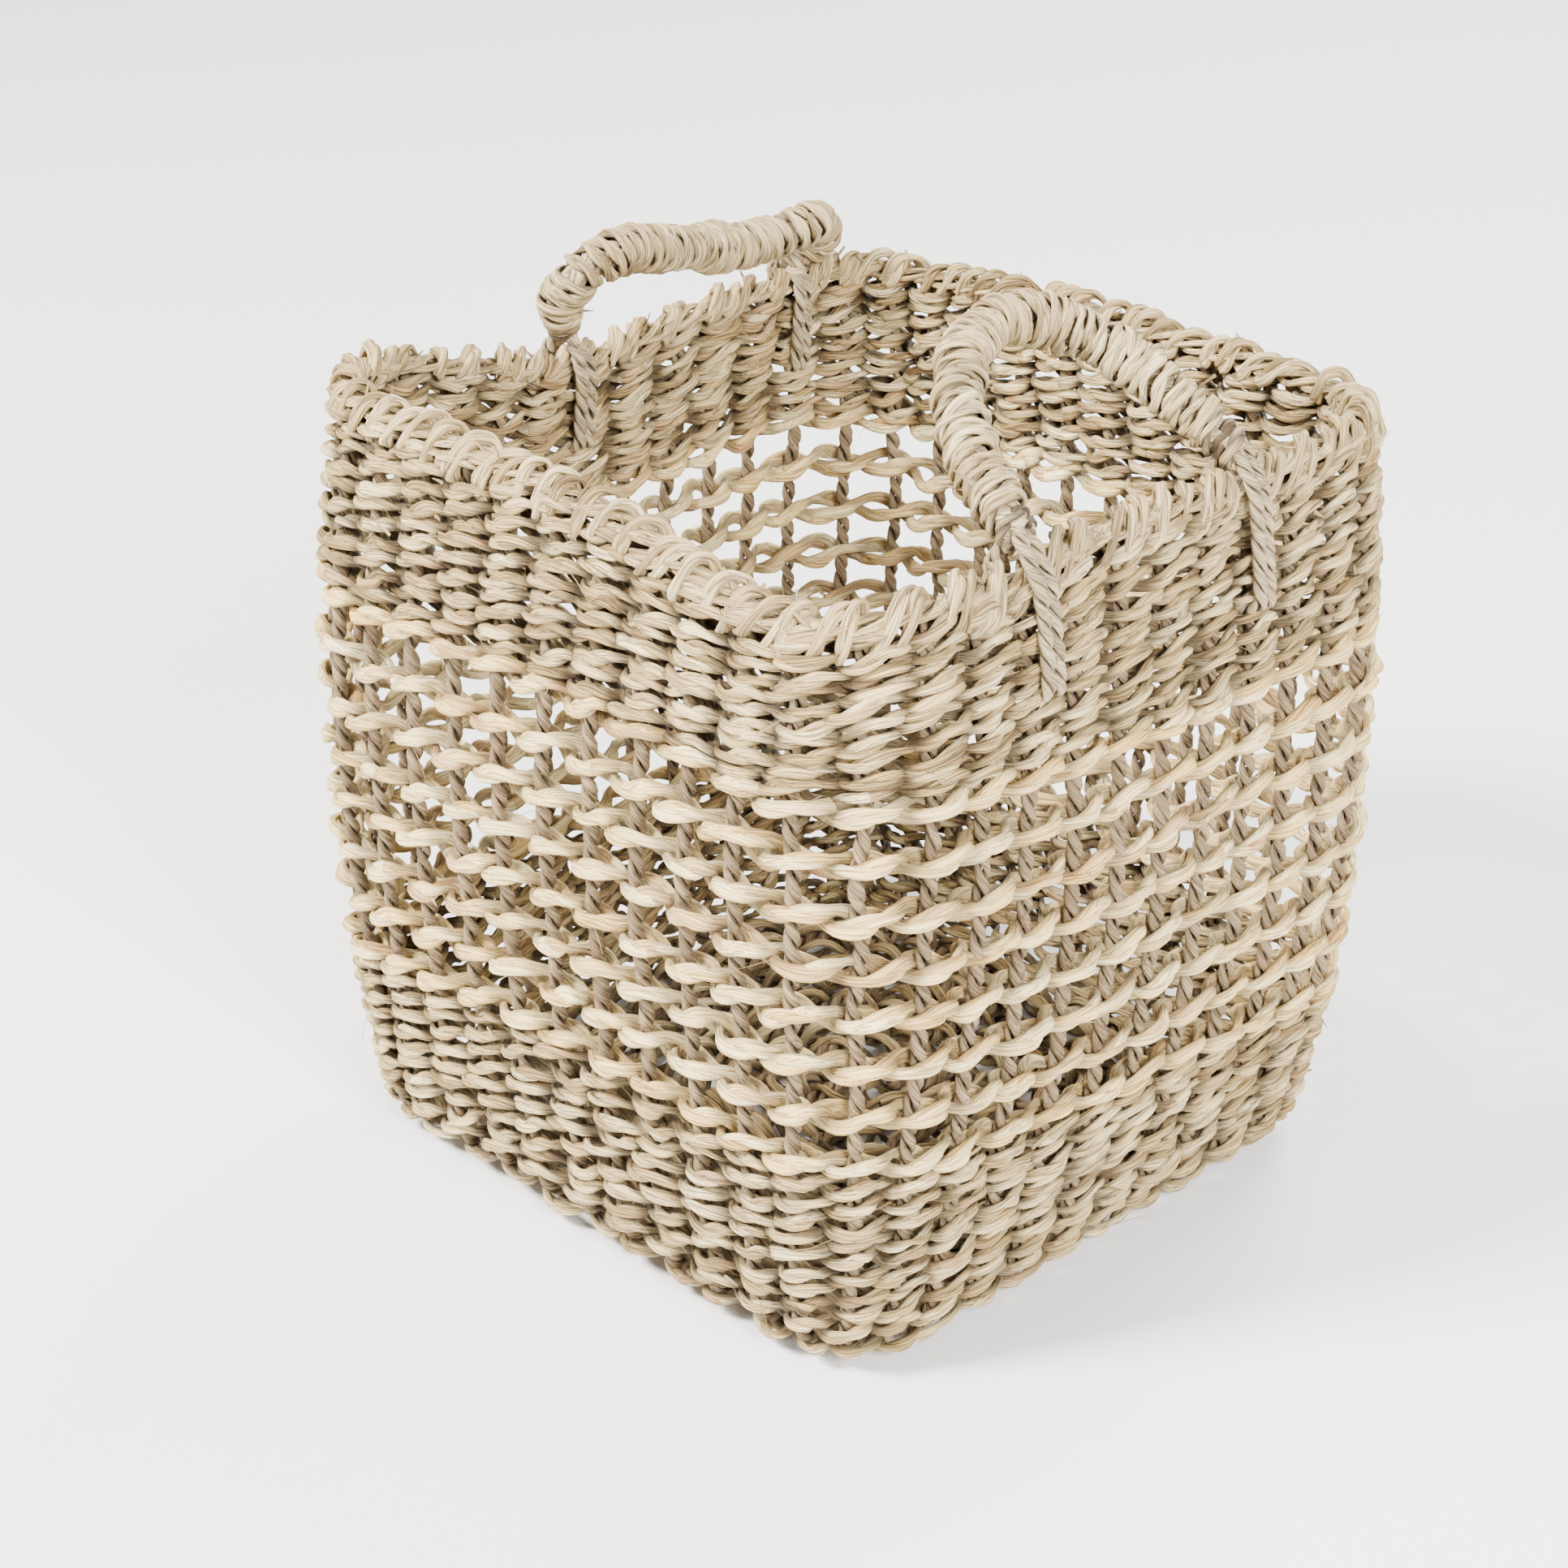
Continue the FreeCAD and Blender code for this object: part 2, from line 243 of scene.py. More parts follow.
@dataclass
class StrandMesh:
    """Gathers tapered strands of leaf into one mesh with the attributes its finish reads.

    The fibre attribute holds the distance along a strand and the direction round it, the tone
    attribute is a leaf's own shade and the open attribute says how far a point stands out of the
    painted shade in the gaps between the strands, both between 0 and 1.
    """

    rings: list = field(default_factory=list)
    fibres: list = field(default_factory=list)
    tones: list = field(default_factory=list)
    painted_shade_clearances: list = field(default_factory=list)
    loops: list = field(default_factory=list)
    sizes: list = field(default_factory=list)
    used: int = 0
    fold_depth: float = 0.18   # depth of the lengthwise fold as a share of the thickness
    fold_place: float = 0.15
    fold_width: float = 0.35

    def add(
        self,
        centre: np.ndarray,
        normal: np.ndarray,
        half_width: np.ndarray,
        half_thick: np.ndarray,
        tone: np.ndarray,
        sides: int = 8,
        start: float = 0.0,
        painted_gap_shade: PaintedGapShade | None = None,
    ) -> None:
        """Adds one strand of leaf.

        Args:
            centre: Points along the strand.
            normal: Direction of the strand's flat face at each point.
            half_width: Half of its width at each point.
            half_thick: Half of its thickness at each point.
            tone: Shade of the leaf at each point.
            sides: Vertices round the strand.
            start: Distance along the leaf at the first point.
            painted_gap_shade: Where the painted shade in the gaps behind the strand lies, if it has any.
        """
        count = len(centre)
        across, face = strand_axes(centre, normal)
        angles = np.arange(sides) * (2 * math.pi / sides)
        cosine, sine = np.cos(angles), np.sin(angles)
        dent = 1 - self.fold_depth * np.exp(-((cosine + self.fold_place) / self.fold_width) ** 2)
        wide = np.broadcast_to(half_width, (count,))[:, None, None] * cosine[None, :, None]
        thick = np.broadcast_to(half_thick, (count,))[:, None, None] * (sine * dent)[None, :, None]
        rings = centre[:, None, :] + across[:, None, :] * wide + face[:, None, :] * thick
        along = np.broadcast_to((start + travelled(centre))[:, None], (count, sides))
        turn = np.broadcast_to(cosine[None, :], (count, sides))
        side = np.broadcast_to(sine[None, :], (count, sides))
        self.rings.append(rings.reshape(-1, 3))
        # Painted shade: how far each point lies out of the darkened gaps between strands, 1 where it is
        # not darkened.
        self.painted_shade_clearances.append((painted_gap_shade.clear_of_painted_shade(rings) if painted_gap_shade else np.ones((count, sides))).reshape(-1))
        self.fibres.append(np.stack([along, turn, side], axis=2).reshape(-1, 3))
        self.tones.append(np.repeat(np.broadcast_to(tone, (count,)), sides))
        first = np.arange(count - 1)[:, None] * sides + self.used
        here, following = np.arange(sides)[None, :], (np.arange(sides)[None, :] + 1) % sides
        next_ring = first + sides
        quads = np.stack([first + here, first + following, next_ring + following, next_ring + here], 2)
        self.loops.append(quads.reshape(-1))
        self.sizes.append(np.full((count - 1) * sides, 4))
        last = self.used + (count - 1) * sides
        self.loops.append(np.concatenate([self.used + np.arange(sides)[::-1], last + np.arange(sides)]))
        self.sizes.append(np.array([sides, sides]))
        self.used += count * sides

    def build(self, name: str, finish: "LeafFinish", body: str, slot: Slot, nodes: Sequence[str]) -> None:
        """Makes the object, dresses it and fixes it to a body.

        Args:
            name: Name of the piece.
            finish: Finish it is dressed in.
            body: Body that it moves with.
            slot: Slot of the record for the piece; not used.
            nodes: CAD nodes that it stands for.
        """
        vertices = settled_on_floor(np.concatenate(self.rings)).astype(np.float32)
        loops = np.concatenate(self.loops).astype(np.int32)
        sizes = np.concatenate(self.sizes).astype(np.int32)
        mesh = bpy.data.meshes.new(name)
        mesh.vertices.add(len(vertices))
        mesh.vertices.foreach_set("co", vertices.ravel())
        mesh.loops.add(len(loops))
        mesh.loops.foreach_set("vertex_index", loops)
        mesh.polygons.add(len(sizes))
        starts = np.concatenate([[0], np.cumsum(sizes)[:-1]]).astype(np.int32)
        mesh.polygons.foreach_set("loop_start", starts)
        mesh.update(calc_edges=True)
        mesh.polygons.foreach_set("use_smooth", np.ones(len(sizes), bool))
        for label, kind, key, values in (
            ("fibre", "FLOAT_VECTOR", "vector", self.fibres),
            ("tone", "FLOAT", "value", self.tones),
            # the open attribute carries the painted shade in the gaps between strands
            ("open", "FLOAT", "value", self.painted_shade_clearances),
        ):
            attribute = mesh.attributes.new(label, kind, "POINT")
            attribute.data.foreach_set(key, np.concatenate(values).astype(np.float32).ravel())
        mesh.validate()
        piece = new_piece(name, mesh)
        mesh.materials.append(finish.material())
        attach(piece, body)
        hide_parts(*nodes)
        log.info("%s: %d vertices, stands for %s", name, len(vertices), ", ".join(nodes))


# Finishes ----------------------------------------------------------------------------------------


class NodeTable:
    """Short ways to add and link the nodes of one shader tree."""

    def __init__(self, tree: bpy.types.NodeTree) -> None:
        """Keeps the tree that the nodes go into."""
        self.tree = tree

    def add(self, kind: str, inputs: dict | None = None, **settings: object) -> bpy.types.Node:
        """Adds a node.

        Args:
            kind: Blender's name for the node type.
            inputs: Socket names or numbers, each with a value or a socket to link from.
            settings: Properties to set on the node first.

        Returns:
            The new node.
        """
        node = self.tree.nodes.new(kind)
        for key, value in settings.items():
            setattr(node, key, value)
        for key, value in (inputs or {}).items():
            if isinstance(value, bpy.types.NodeSocket):
                self.tree.links.new(value, node.inputs[key])
            else:
                node.inputs[key].default_value = value
        return node

    def noise(self, vector: bpy.types.NodeSocket, scale: float, detail: float) -> bpy.types.NodeSocket:
        """Returns a noise value at a vector."""
        inputs = {"Vector": vector, "Scale": scale, "Detail": detail, "Roughness": 0.6}
        return self.add("ShaderNodeTexNoise", inputs).outputs["Fac"]

    def remap(self, value: bpy.types.NodeSocket, low: float, high: float) -> bpy.types.NodeSocket:
        """Stretches a value so that low becomes 0 and high becomes 1."""
        inputs = {"Value": value, "From Min": low, "From Max": high}
        node = self.add("ShaderNodeMapRange", inputs, interpolation_type="SMOOTHSTEP")
        return node.outputs["Result"]

    def math(self, operation: str, first: object, second: object = 0.0) -> bpy.types.NodeSocket:
        """Returns the result of one sum."""
        return self.add("ShaderNodeMath", {0: first, 1: second}, operation=operation).outputs[0]

    def mix(self, share: object, first: object, second: object) -> bpy.types.NodeSocket:
        """Returns a mix of two colours."""
        inputs = {"Factor": share, 6: first, 7: second}
        return self.add("ShaderNodeMix", inputs, data_type="RGBA").outputs[2]


def fibre_group() -> bpy.types.NodeTree:
    """Node group that turns a leaf's own directions into streaks, creases and blotches.

    Returns:
        A group that takes the fibre vector and the tone, and puts out masks and a height.
    """
    name = "leaf_fibres"
    if name in bpy.data.node_groups:
        return bpy.data.node_groups[name]
    group = bpy.data.node_groups.new(name, "ShaderNodeTree")
    group.interface.new_socket("Fibre", in_out="INPUT", socket_type="NodeSocketVector")
    group.interface.new_socket("Tone", in_out="INPUT", socket_type="NodeSocketFloat")
    for output in ("Streak", "Crease", "Blotch", "Weathering", "Height"):
        group.interface.new_socket(output, in_out="OUTPUT", socket_type="NodeSocketFloat")
    table = NodeTable(group)
    taken = table.add("NodeGroupInput")
    given = table.add("NodeGroupOutput")
    own = table.math("MULTIPLY", taken.outputs["Tone"], 7.3)
    shift = table.add("ShaderNodeCombineXYZ", {0: own, 1: own, 2: own}).outputs[0]

    def stretched(lengthwise: float, sideways: float) -> bpy.types.NodeSocket:
        """Returns the fibre vector scaled along and round the leaf, shifted for each leaf."""
        scale = (lengthwise, sideways, sideways)
        fibre = taken.outputs["Fibre"]
        scaled = table.add("ShaderNodeVectorMath", {0: fibre, 1: scale}, operation="MULTIPLY").outputs[0]
        return table.add("ShaderNodeVectorMath", {0: scaled, 1: shift}, operation="ADD").outputs[0]

    streak = table.noise(stretched(38.0, 4.6), 1.0, 4.0)
    # Crease lines: grooves in the bump below, which the finish also darkens as painted shade.
    crease_noise = table.noise(stretched(22.0, 1.9), 1.0, 2.0)
    crease_gap = table.math("ABSOLUTE", table.math("SUBTRACT", crease_noise, 0.5))
    crease = table.math("SUBTRACT", 1.0, table.remap(crease_gap, 0.0, 0.045))
    blotch = table.remap(table.noise(stretched(75.0, 0.8), 1.0, 2.0), 0.52, 0.74)
    place = table.add("ShaderNodeTexCoord").outputs["Object"]
    weathering = table.remap(table.noise(place, 17.0, 3.0), 0.32, 0.68)
    rise = table.math("SUBTRACT", streak, table.math("MULTIPLY", crease, 0.45))
    for output, value in {
        "Streak": table.remap(streak, 0.3, 0.7),
        "Crease": crease,
        "Blotch": blotch,
        "Weathering": weathering,
        "Height": rise,
    }.items():
        group.links.new(value, given.inputs[output])
    return group


@dataclass(frozen=True)
class LeafFinish:
    """Dried leaf or twisted cord, from its shadows to its palest fibres, with painted shade along its
    creases and in the gaps between strands.
    """

    name: str
    pale: tuple
    middle: tuple
    dark: tuple
    accent: tuple
    accent_from: float = 0.9
    # strength of the painted shade along the crease lines
    painted_crease_shade_share: float = 0.75
    # colour of the painted shade in the gaps between strands, and how strongly it is painted
    painted_gap_shade: tuple = (0.035, 0.018, 0.007, 1)
    painted_gap_shade_share: float = 0.88
    roughness: float = 0.68
    bump: float = 0.0011
    tone_share: float = 0.72
    streak_share: float = 0.55
    weathering_share: float = 0.28
    blotch_share: float = 0.35
    rust_share: float = 0.6
    specular: float = 0.35

    def material(self) -> bpy.types.Material:
        """Makes the material once and returns it."""
        if self.name in bpy.data.materials:
            return bpy.data.materials[self.name]
        material = bpy.data.materials.new(self.name)
        material.use_nodes = True
        material.node_tree.nodes.clear()
        table = NodeTable(material.node_tree)
        fibre = table.add("ShaderNodeAttribute", attribute_name="fibre").outputs["Vector"]
        tone = table.add("ShaderNodeAttribute", attribute_name="tone").outputs["Fac"]
        # how far each point lies out of the painted shade in the gaps between strands
        clear_of_painted_shade = table.add("ShaderNodeAttribute", attribute_name="open").outputs["Fac"]
        pattern = table.add("ShaderNodeGroup", node_tree=fibre_group())
        material.node_tree.links.new(fibre, pattern.inputs["Fibre"])
        material.node_tree.links.new(tone, pattern.inputs["Tone"])
        masks = pattern.outputs
        own = table.math("MULTIPLY", tone, self.tone_share)
        shade = table.math("ADD", own, table.math("MULTIPLY", masks["Streak"], self.streak_share))
        lower = table.mix(table.remap(shade, 0.05, 0.5), self.dark, self.middle)
        leaf = table.mix(table.remap(shade, 0.45, 1.0), lower, self.pale)
        old = table.math("MULTIPLY", masks["Weathering"], self.weathering_share)
        aged = table.mix(old, leaf, self.middle)
        rust = table.math("GREATER_THAN", tone, self.accent_from)
        blotched = table.math("MULTIPLY", masks["Blotch"], self.blotch_share)
        spotted = table.math("ADD", blotched, table.math("MULTIPLY", rust, self.rust_share))
        stained = table.mix(spotted, aged, self.accent)
        # Painted shade: the crease lines, which the bump cuts as grooves, are darkened towards the dark
        # colour.
        painted_crease_shade = table.math("MULTIPLY", masks["Crease"], self.painted_crease_shade_share)
        with_painted_crease_shade = table.mix(painted_crease_shade, stained, self.dark)
        # Painted shade: the colour is darkened towards a near-black brown where a point lies deep in the
        # gaps between strands.
        shut = table.math("MULTIPLY", table.math("SUBTRACT", 1.0, clear_of_painted_shade), self.painted_gap_shade_share)
        colour = table.mix(shut, with_painted_crease_shade, self.painted_gap_shade)
        relief = {"Height": masks["Height"], "Distance": self.bump, "Strength": 1.0}
        bump = table.add("ShaderNodeBump", relief)
        surface = table.add("ShaderNodeBsdfPrincipled", {"Base Color": colour, "Normal": bump.outputs[0]})
        surface.inputs["Roughness"].default_value = self.roughness
        surface.inputs["Specular IOR Level"].default_value = self.specular
        output = table.add("ShaderNodeOutputMaterial")
        material.node_tree.links.new(surface.outputs[0], output.inputs["Surface"])
        return material


SEAGRASS = LeafFinish(
    "seagrass_leaf", pale=(0.95, 0.77, 0.42, 1), middle=(0.52, 0.355, 0.14, 1),
    dark=(0.08, 0.042, 0.014, 1), accent=(0.36, 0.17, 0.05, 1), accent_from=0.95, painted_gap_shade_share=0.8,
)
CREAM = LeafFinish(
    "cream_leaf", pale=(0.99, 0.84, 0.47, 1), middle=(0.88, 0.59, 0.205, 1),
    dark=(0.26, 0.12, 0.03, 1), accent=(0.55, 0.28, 0.08, 1), accent_from=0.97,
    painted_crease_shade_share=0.6, painted_gap_shade_share=0.55,
)
STAKE = LeafFinish(
    "stake_twist", pale=(0.46, 0.34, 0.19, 1), middle=(0.24, 0.165, 0.085, 1),
    dark=(0.06, 0.036, 0.018, 1), accent=(0.22, 0.11, 0.04, 1), painted_gap_shade_share=0.75,
)
EDGE = LeafFinish(
    "edge_leaf", pale=(0.86, 0.68, 0.38, 1), middle=(0.47, 0.325, 0.14, 1),
    dark=(0.07, 0.038, 0.013, 1), accent=(0.34, 0.17, 0.05, 1), accent_from=0.94, painted_gap_shade_share=0.85,
)
WRAP = LeafFinish(
    "handle_leaf", pale=(0.90, 0.73, 0.43, 1), middle=(0.53, 0.38, 0.175, 1),
    dark=(0.08, 0.045, 0.018, 1), accent=(0.38, 0.20, 0.07, 1), accent_from=0.96, roughness=0.55,
)
CORD = LeafFinish(
    "tie_twist", pale=(0.72, 0.58, 0.36, 1), middle=(0.42, 0.315, 0.175, 1),
    dark=(0.08, 0.05, 0.022, 1), accent=(0.32, 0.16, 0.06, 1),
)


# Form of the wall --------------------------------------------------------------------------------


@dataclass(frozen=True)
class Sag:
    """A place where the soft wall has settled away from its even form."""

    stake: float               # stake count round from the middle of the right side
    spread: float              # how many stakes it reaches either way
    height: float
    reach: float               # how far up and down it reaches
    drop: float                # upward movement, below zero where the wall sinks
    out: float = 0.0


@dataclass(frozen=True)
class WallForm:
    """The even form of the wall and the way the woven wall has settled from it."""

    corner_centre: float = 0.105
    bulge_offset: float = 0.0535
    bulge_height: float = 0.185
    bulge_radius: float = 0.9
    turn_radius: float = 0.015
    turn_height: float = 0.02165
    side_pitch: float = 0.0245
    corner_pitch: float = 0.0233
    corner_start: float = 0.007
    corner_reference: float = 0.0505
    levels: tuple = (0.0, 0.0857, 0.2338, 0.316)
    # rise at each level for the middle of each side and each corner, from the right side round
    settling: tuple = (
        (0.0, 0.0, 0.0, 0.0, 0.0, 0.0, 0.0, 0.0),
        (-0.001, -0.010, 0.0, 0.0, 0.0, 0.002, 0.013, 0.011),
        (-0.001, 0.0, 0.007, 0.004, 0.0, 0.008, 0.011, 0.007),
        (-0.001, -0.001, 0.001, -0.006, -0.014, 0.007, 0.004, -0.003),
    )
    sags: tuple = (
        Sag(40.2, 2.4, 0.316, 0.06, -0.011),
        Sag(-3.3, 0.9, 0.316, 0.03, -0.004),
        Sag(1.7, 0.9, 0.316, 0.03, -0.003),
        Sag(24.6, 2.0, 0.316, 0.05, -0.005),
        Sag(19.5, 1.2, 0.316, 0.03, -0.004),
        Sag(42.0, 3.0, 0.13, 0.05, 0.0, -0.003),
        Sag(33.5, 3.0, 0.20, 0.06, 0.0, 0.003),
        Sag(3.0, 3.0, 0.12, 0.05, 0.0, 0.002),
    )

    @property
    def turn_lean(self) -> float:
        """Angle at which the bend at the foot runs into the wall."""
        return math.asin((self.bulge_height - self.turn_height) / (self.bulge_radius - self.turn_radius))

    @property
    def turn_centre(self) -> float:
        """Offset of the centre of the bend at the foot."""
        reach = (self.bulge_radius - self.turn_radius) * math.cos(self.turn_lean)
        return self.bulge_offset - self.bulge_radius + reach

    def at_height(self, height: np.ndarray) -> tuple[np.ndarray, np.ndarray]:
        """Returns the stakes' offset and outward angle at some heights."""
        join = self.turn_height - self.turn_radius * math.sin(self.turn_lean)
        wall = np.arcsin(np.clip((height - self.bulge_height) / self.bulge_radius, -1, 1))
        bend = np.arcsin(np.clip((height - self.turn_height) / self.turn_radius, -1, 1))
        low = height < join
        wall_offset = self.bulge_offset - self.bulge_radius + self.bulge_radius * np.cos(wall)
        bend_offset = self.turn_centre + self.turn_radius * np.cos(bend)
        return np.where(low, bend_offset, wall_offset), np.where(low, bend, wall)

    def plan(self, stake: np.ndarray) -> tuple[np.ndarray, np.ndarray]:
        """Point of the inner square and outward direction for places round the basket.

        Args:
            stake: Stake count round from the middle of the right side, anticlockwise from above.

        Returns:
            Points and directions in the plan, each with two columns.
        """
        quarter = np.floor((stake + SIDE_UNITS / 2) / SIDE_UNITS)
        local = stake - quarter * SIDE_UNITS
        straight = np.abs(local) <= SIDE_HALF
        past = (np.abs(local) - SIDE_HALF) * self.corner_pitch
        side = np.where(straight, np.abs(local) * self.side_pitch, SIDE_HALF * self.side_pitch + past)
        side = np.minimum(side, self.corner_centre)
        turn = np.maximum(past - self.corner_start, 0.0) / self.corner_reference
        sign = np.sign(local)
        angle = turn * sign
        core_x, core_y = np.full_like(side, self.corner_centre), side * sign
        turned = quarter * math.pi / 2
        cosine, sine = np.cos(turned), np.sin(turned)
        core = np.stack([core_x * cosine - core_y * sine, core_x * sine + core_y * cosine], axis=1)
        facing = angle + turned
        return core, np.stack([np.cos(facing), np.sin(facing)], axis=1)

    def settled(self, stake: np.ndarray, height: np.ndarray) -> tuple[np.ndarray, np.ndarray]:
        """Returns how far the wall has moved up and out from its even form."""
        places = len(self.settling[0])
        turn = np.mod(stake, STAKES_ROUND) / (STAKES_ROUND / places)
        low = turn.astype(int) % places
        share = turn - np.floor(turn)
        share = share * share * (3 - 2 * share)
        table = np.array(self.settling)
        by_level = table[:, low] * (1 - share) + table[:, (low + 1) % places] * share
        rise = np.zeros_like(height)
        for i in range(len(self.levels) - 1):
            bottom, top = self.levels[i], self.levels[i + 1]
            inside = (height >= bottom) & (height < top)
            part = np.clip((height - bottom) / (top - bottom), 0, 1)
            rise = np.where(inside, by_level[i] * (1 - part) + by_level[i + 1] * part, rise)
        rise = np.where(height >= self.levels[-1], by_level[-1], rise)
        out = np.zeros_like(height)
        for sag in self.sags:
            half = STAKES_ROUND / 2
            away = np.abs(np.mod(stake - sag.stake + half, STAKES_ROUND) - half)
            amount = np.exp(-((away / sag.spread) ** 2) - ((height - sag.height) / sag.reach) ** 2)
            rise = rise + sag.drop * amount
            out = out + sag.out * amount
        return rise, out

    def place(
        self, stake: np.ndarray, height: np.ndarray, through: np.ndarray, across: np.ndarray
    ) -> tuple[np.ndarray, np.ndarray, np.ndarray]:
        """Points on or beside the wall.

        Args:
            stake: Stake count round the basket.
            height: Level of the even wall.
            through: Distance out from the stakes' centre lines.
            across: Distance up along the wall from that level.

        Returns:
            Points, outward normals and up-wall directions, each with three columns.
        """
        offset, angle = self.at_height(height)
        rise, out = self.settled(stake, height)
        core, facing = self.plan(stake)
        level = np.cos(angle) * through - np.sin(angle) * across + offset + out
        points = np.concatenate([core + facing * level[:, None], np.zeros((len(core), 1))], axis=1)
        points[:, 2] = height + np.sin(angle) * through + np.cos(angle) * across + rise
        normal = np.concatenate([facing * np.cos(angle)[:, None], np.sin(angle)[:, None]], axis=1)
        up = np.concatenate([-facing * np.sin(angle)[:, None], np.cos(angle)[:, None]], axis=1)
        return points, normal, up


WALL = WallForm()


# Twining -----------------------------------------------------------------------------------------


@dataclass(frozen=True)
class Twine:
    """How a pair of strands is twined round the stakes, in metres."""

    reach: float               # how far a strand stands out from the stakes' centre lines
    slant: float               # how far a stitch climbs each way from the round's middle
    plies: int                 # leaves in each strand
    half_width: float          # half of one leaf's width
    half_thick: float
    spread_across: float       # how far the leaves lie from the strand's middle along the wall
    spread_through: float
    twist: float               # turns of the strand on itself in one stitch
    slack: float               # how unevenly the strand lies
    lag: float = 0.4           # how late a strand dives in under the next stitch
    steps: int = 11            # points along a stitch
    sides: int = 8
    depth_power: float = 0.7   # how squarely a strand stands out, where 1 is a plain wave
    stray: float = 0.11        # how far a stitch slides along, in stakes


DENSE = Twine(
    reach=0.0045, slant=0.0029, plies=2, half_width=0.00185, half_thick=0.00135,
    spread_across=0.00125, spread_through=0.0011, twist=0.75, slack=0.0009,
)
LIGHT = Twine(
    reach=0.0048, slant=0.0029, plies=2, half_width=0.0025, half_thick=0.0018,
    spread_across=0.0014, spread_through=0.0011, twist=0.625, slack=0.0006, sides=10,
)
BORDER = Twine(
    reach=0.0050, slant=0.0028, plies=3, half_width=0.0020, half_thick=0.0014,
    spread_across=0.0014, spread_through=0.0012, twist=0.625, slack=0.0008,
)
BASE_TWINE = Twine(
    reach=0.0071, slant=0.0021, plies=2, half_width=0.0019, half_thick=0.0011,
    spread_across=0.0013, spread_through=0.0005, twist=0.3, slack=0.0003, steps=8, sides=7,
)

Placer = Callable[[np.ndarray, np.ndarray, np.ndarray], tuple]


def twine_round(
    mesh: StrandMesh,
    twine: Twine,
    placer: Placer,
    first: float,
    stitches: int,
    seed: int,
    tone: float = 0.55,
    tone_spread: float = 0.3,
) -> None:
    """Twines one round: two strands that cross between the stakes.

    Args:
        mesh: Mesh that the strands go into.
        twine: How the strands lie.
        placer: Gives points and normals for places round, through and across the round.
        first: Place round the basket where the round begins.
        stitches: How many stakes the round passes.
        seed: Seed of the unevenness.
        tone: Usual shade of the leaves.
        tone_spread: How much one leaf differs from the next.
    """
    rng = np.random.default_rng(seed)
    count = stitches * twine.steps + 1
    along = np.linspace(0, stitches, count)
    place = first + along
    for strand in range(2):
        phase = math.pi * (along + strand)
        swing = np.cos(phase - twine.lag)
        depth = np.sign(swing) * np.abs(swing) ** twine.depth_power
        through = twine.reach * depth + wander(rng, count, stitches, twine.slack * 0.7)
        climb = uneven(twine.slant, rng, count, stitches, 0.2)
        across = climb * np.sin(phase) + wander(rng, count, stitches, twine.slack)
        shift = wander(rng, count, stitches, twine.stray)
        points, normal, _ = placer(place + shift, through, across)
        middle, off, _ = placer(place + shift, through * 0, across * 0)
        # Painted shade: points near the wall's middle surface, deep in the weave, are darkened.
        painted_gap_shade = PaintedGapShade(middle, twine.reach * 0.45, twine.reach * 1.22, off)
        side, face = strand_axes(points, normal)
        fullness = 0.78 + 0.3 * np.abs(swing)
        stitch = np.floor(along / 2 + 0.5 * strand + 0.25).astype(int)
        for ply in range(twine.plies):
            turns = ply / twine.plies + twine.twist * along + rng.uniform(0, 1) * 0.2
            turn = 2 * math.pi * turns
            turn = turn + wander(rng, count, stitches * 2, 0.45)
            lift_across = twine.spread_across * np.cos(turn) * fullness
            lift_through = twine.spread_through * np.sin(turn)
            centre = moved(points, (side, lift_across), (face, lift_through))
            width = uneven(twine.half_width * fullness, rng, count, stitches * 2, 0.16)
            thick = uneven(twine.half_thick, rng, count, stitches * 2, 0.16)
            roll = 0.7 * np.sin(turn) + wander(rng, count, stitches, 0.35)
            flat = spun(face, side, roll)
            leaf = rng.normal(0, tone_spread, stitch.max() + 2)[stitch]
            drift = wander(rng, count, stitches // 3, tone_spread * 0.7)
            shade = np.clip(tone + leaf * 0.6 + drift, 0, 1)
            mesh.add(centre, flat, width, thick, shade, twine.sides, start=rng.uniform(0, 3), painted_gap_shade=painted_gap_shade)


@dataclass(frozen=True)
class LooseEnds:
    """Cut and torn leaf ends that stand away from the weaving."""

    count: int
    shortest: float
    longest: float
    half_width: float
    lift: float                # how far the tips stand away from the wall
    inside_share: float = 0.3

    def add(self, mesh: StrandMesh, placer: Placer, seed: int, tone: float = 0.55) -> None:
        """Adds the ends at random places of a round.

        Args:
            mesh: Mesh that the ends go into.
            placer: Gives points and normals for places round, through and across the round.
            seed: Seed of their places.
            tone: Usual shade.
        """
        rng = np.random.default_rng(seed)
        for _ in range(self.count):
            start = rng.uniform(0, STAKES_ROUND)
            outward = -1.0 if rng.random() < self.inside_share else 1.0
            length = rng.uniform(self.shortest, self.longest)
            share = np.linspace(0, 1, 7)
            heading = rng.choice([-1.0, 1.0])
            stake = start + heading * share * length / WALL.side_pitch * rng.uniform(0.3, 1.0)
            through = outward * (0.0052 + share**1.5 * self.lift * rng.uniform(0.3, 1.0))
            across = rng.normal(0, 0.0015) + share * length * rng.uniform(-0.6, 0.7)
            points, normal, _ = placer(stake, through, across)
            taper = self.half_width * (1 - 0.75 * share**2) * rng.uniform(0.5, 1.0)
            shade = float(np.clip(tone + rng.normal(0, 0.22), 0, 1))
            mesh.add(points, normal, taper, taper * 0.3 + 0.0001, shade, 5, start=rng.uniform(0, 3))


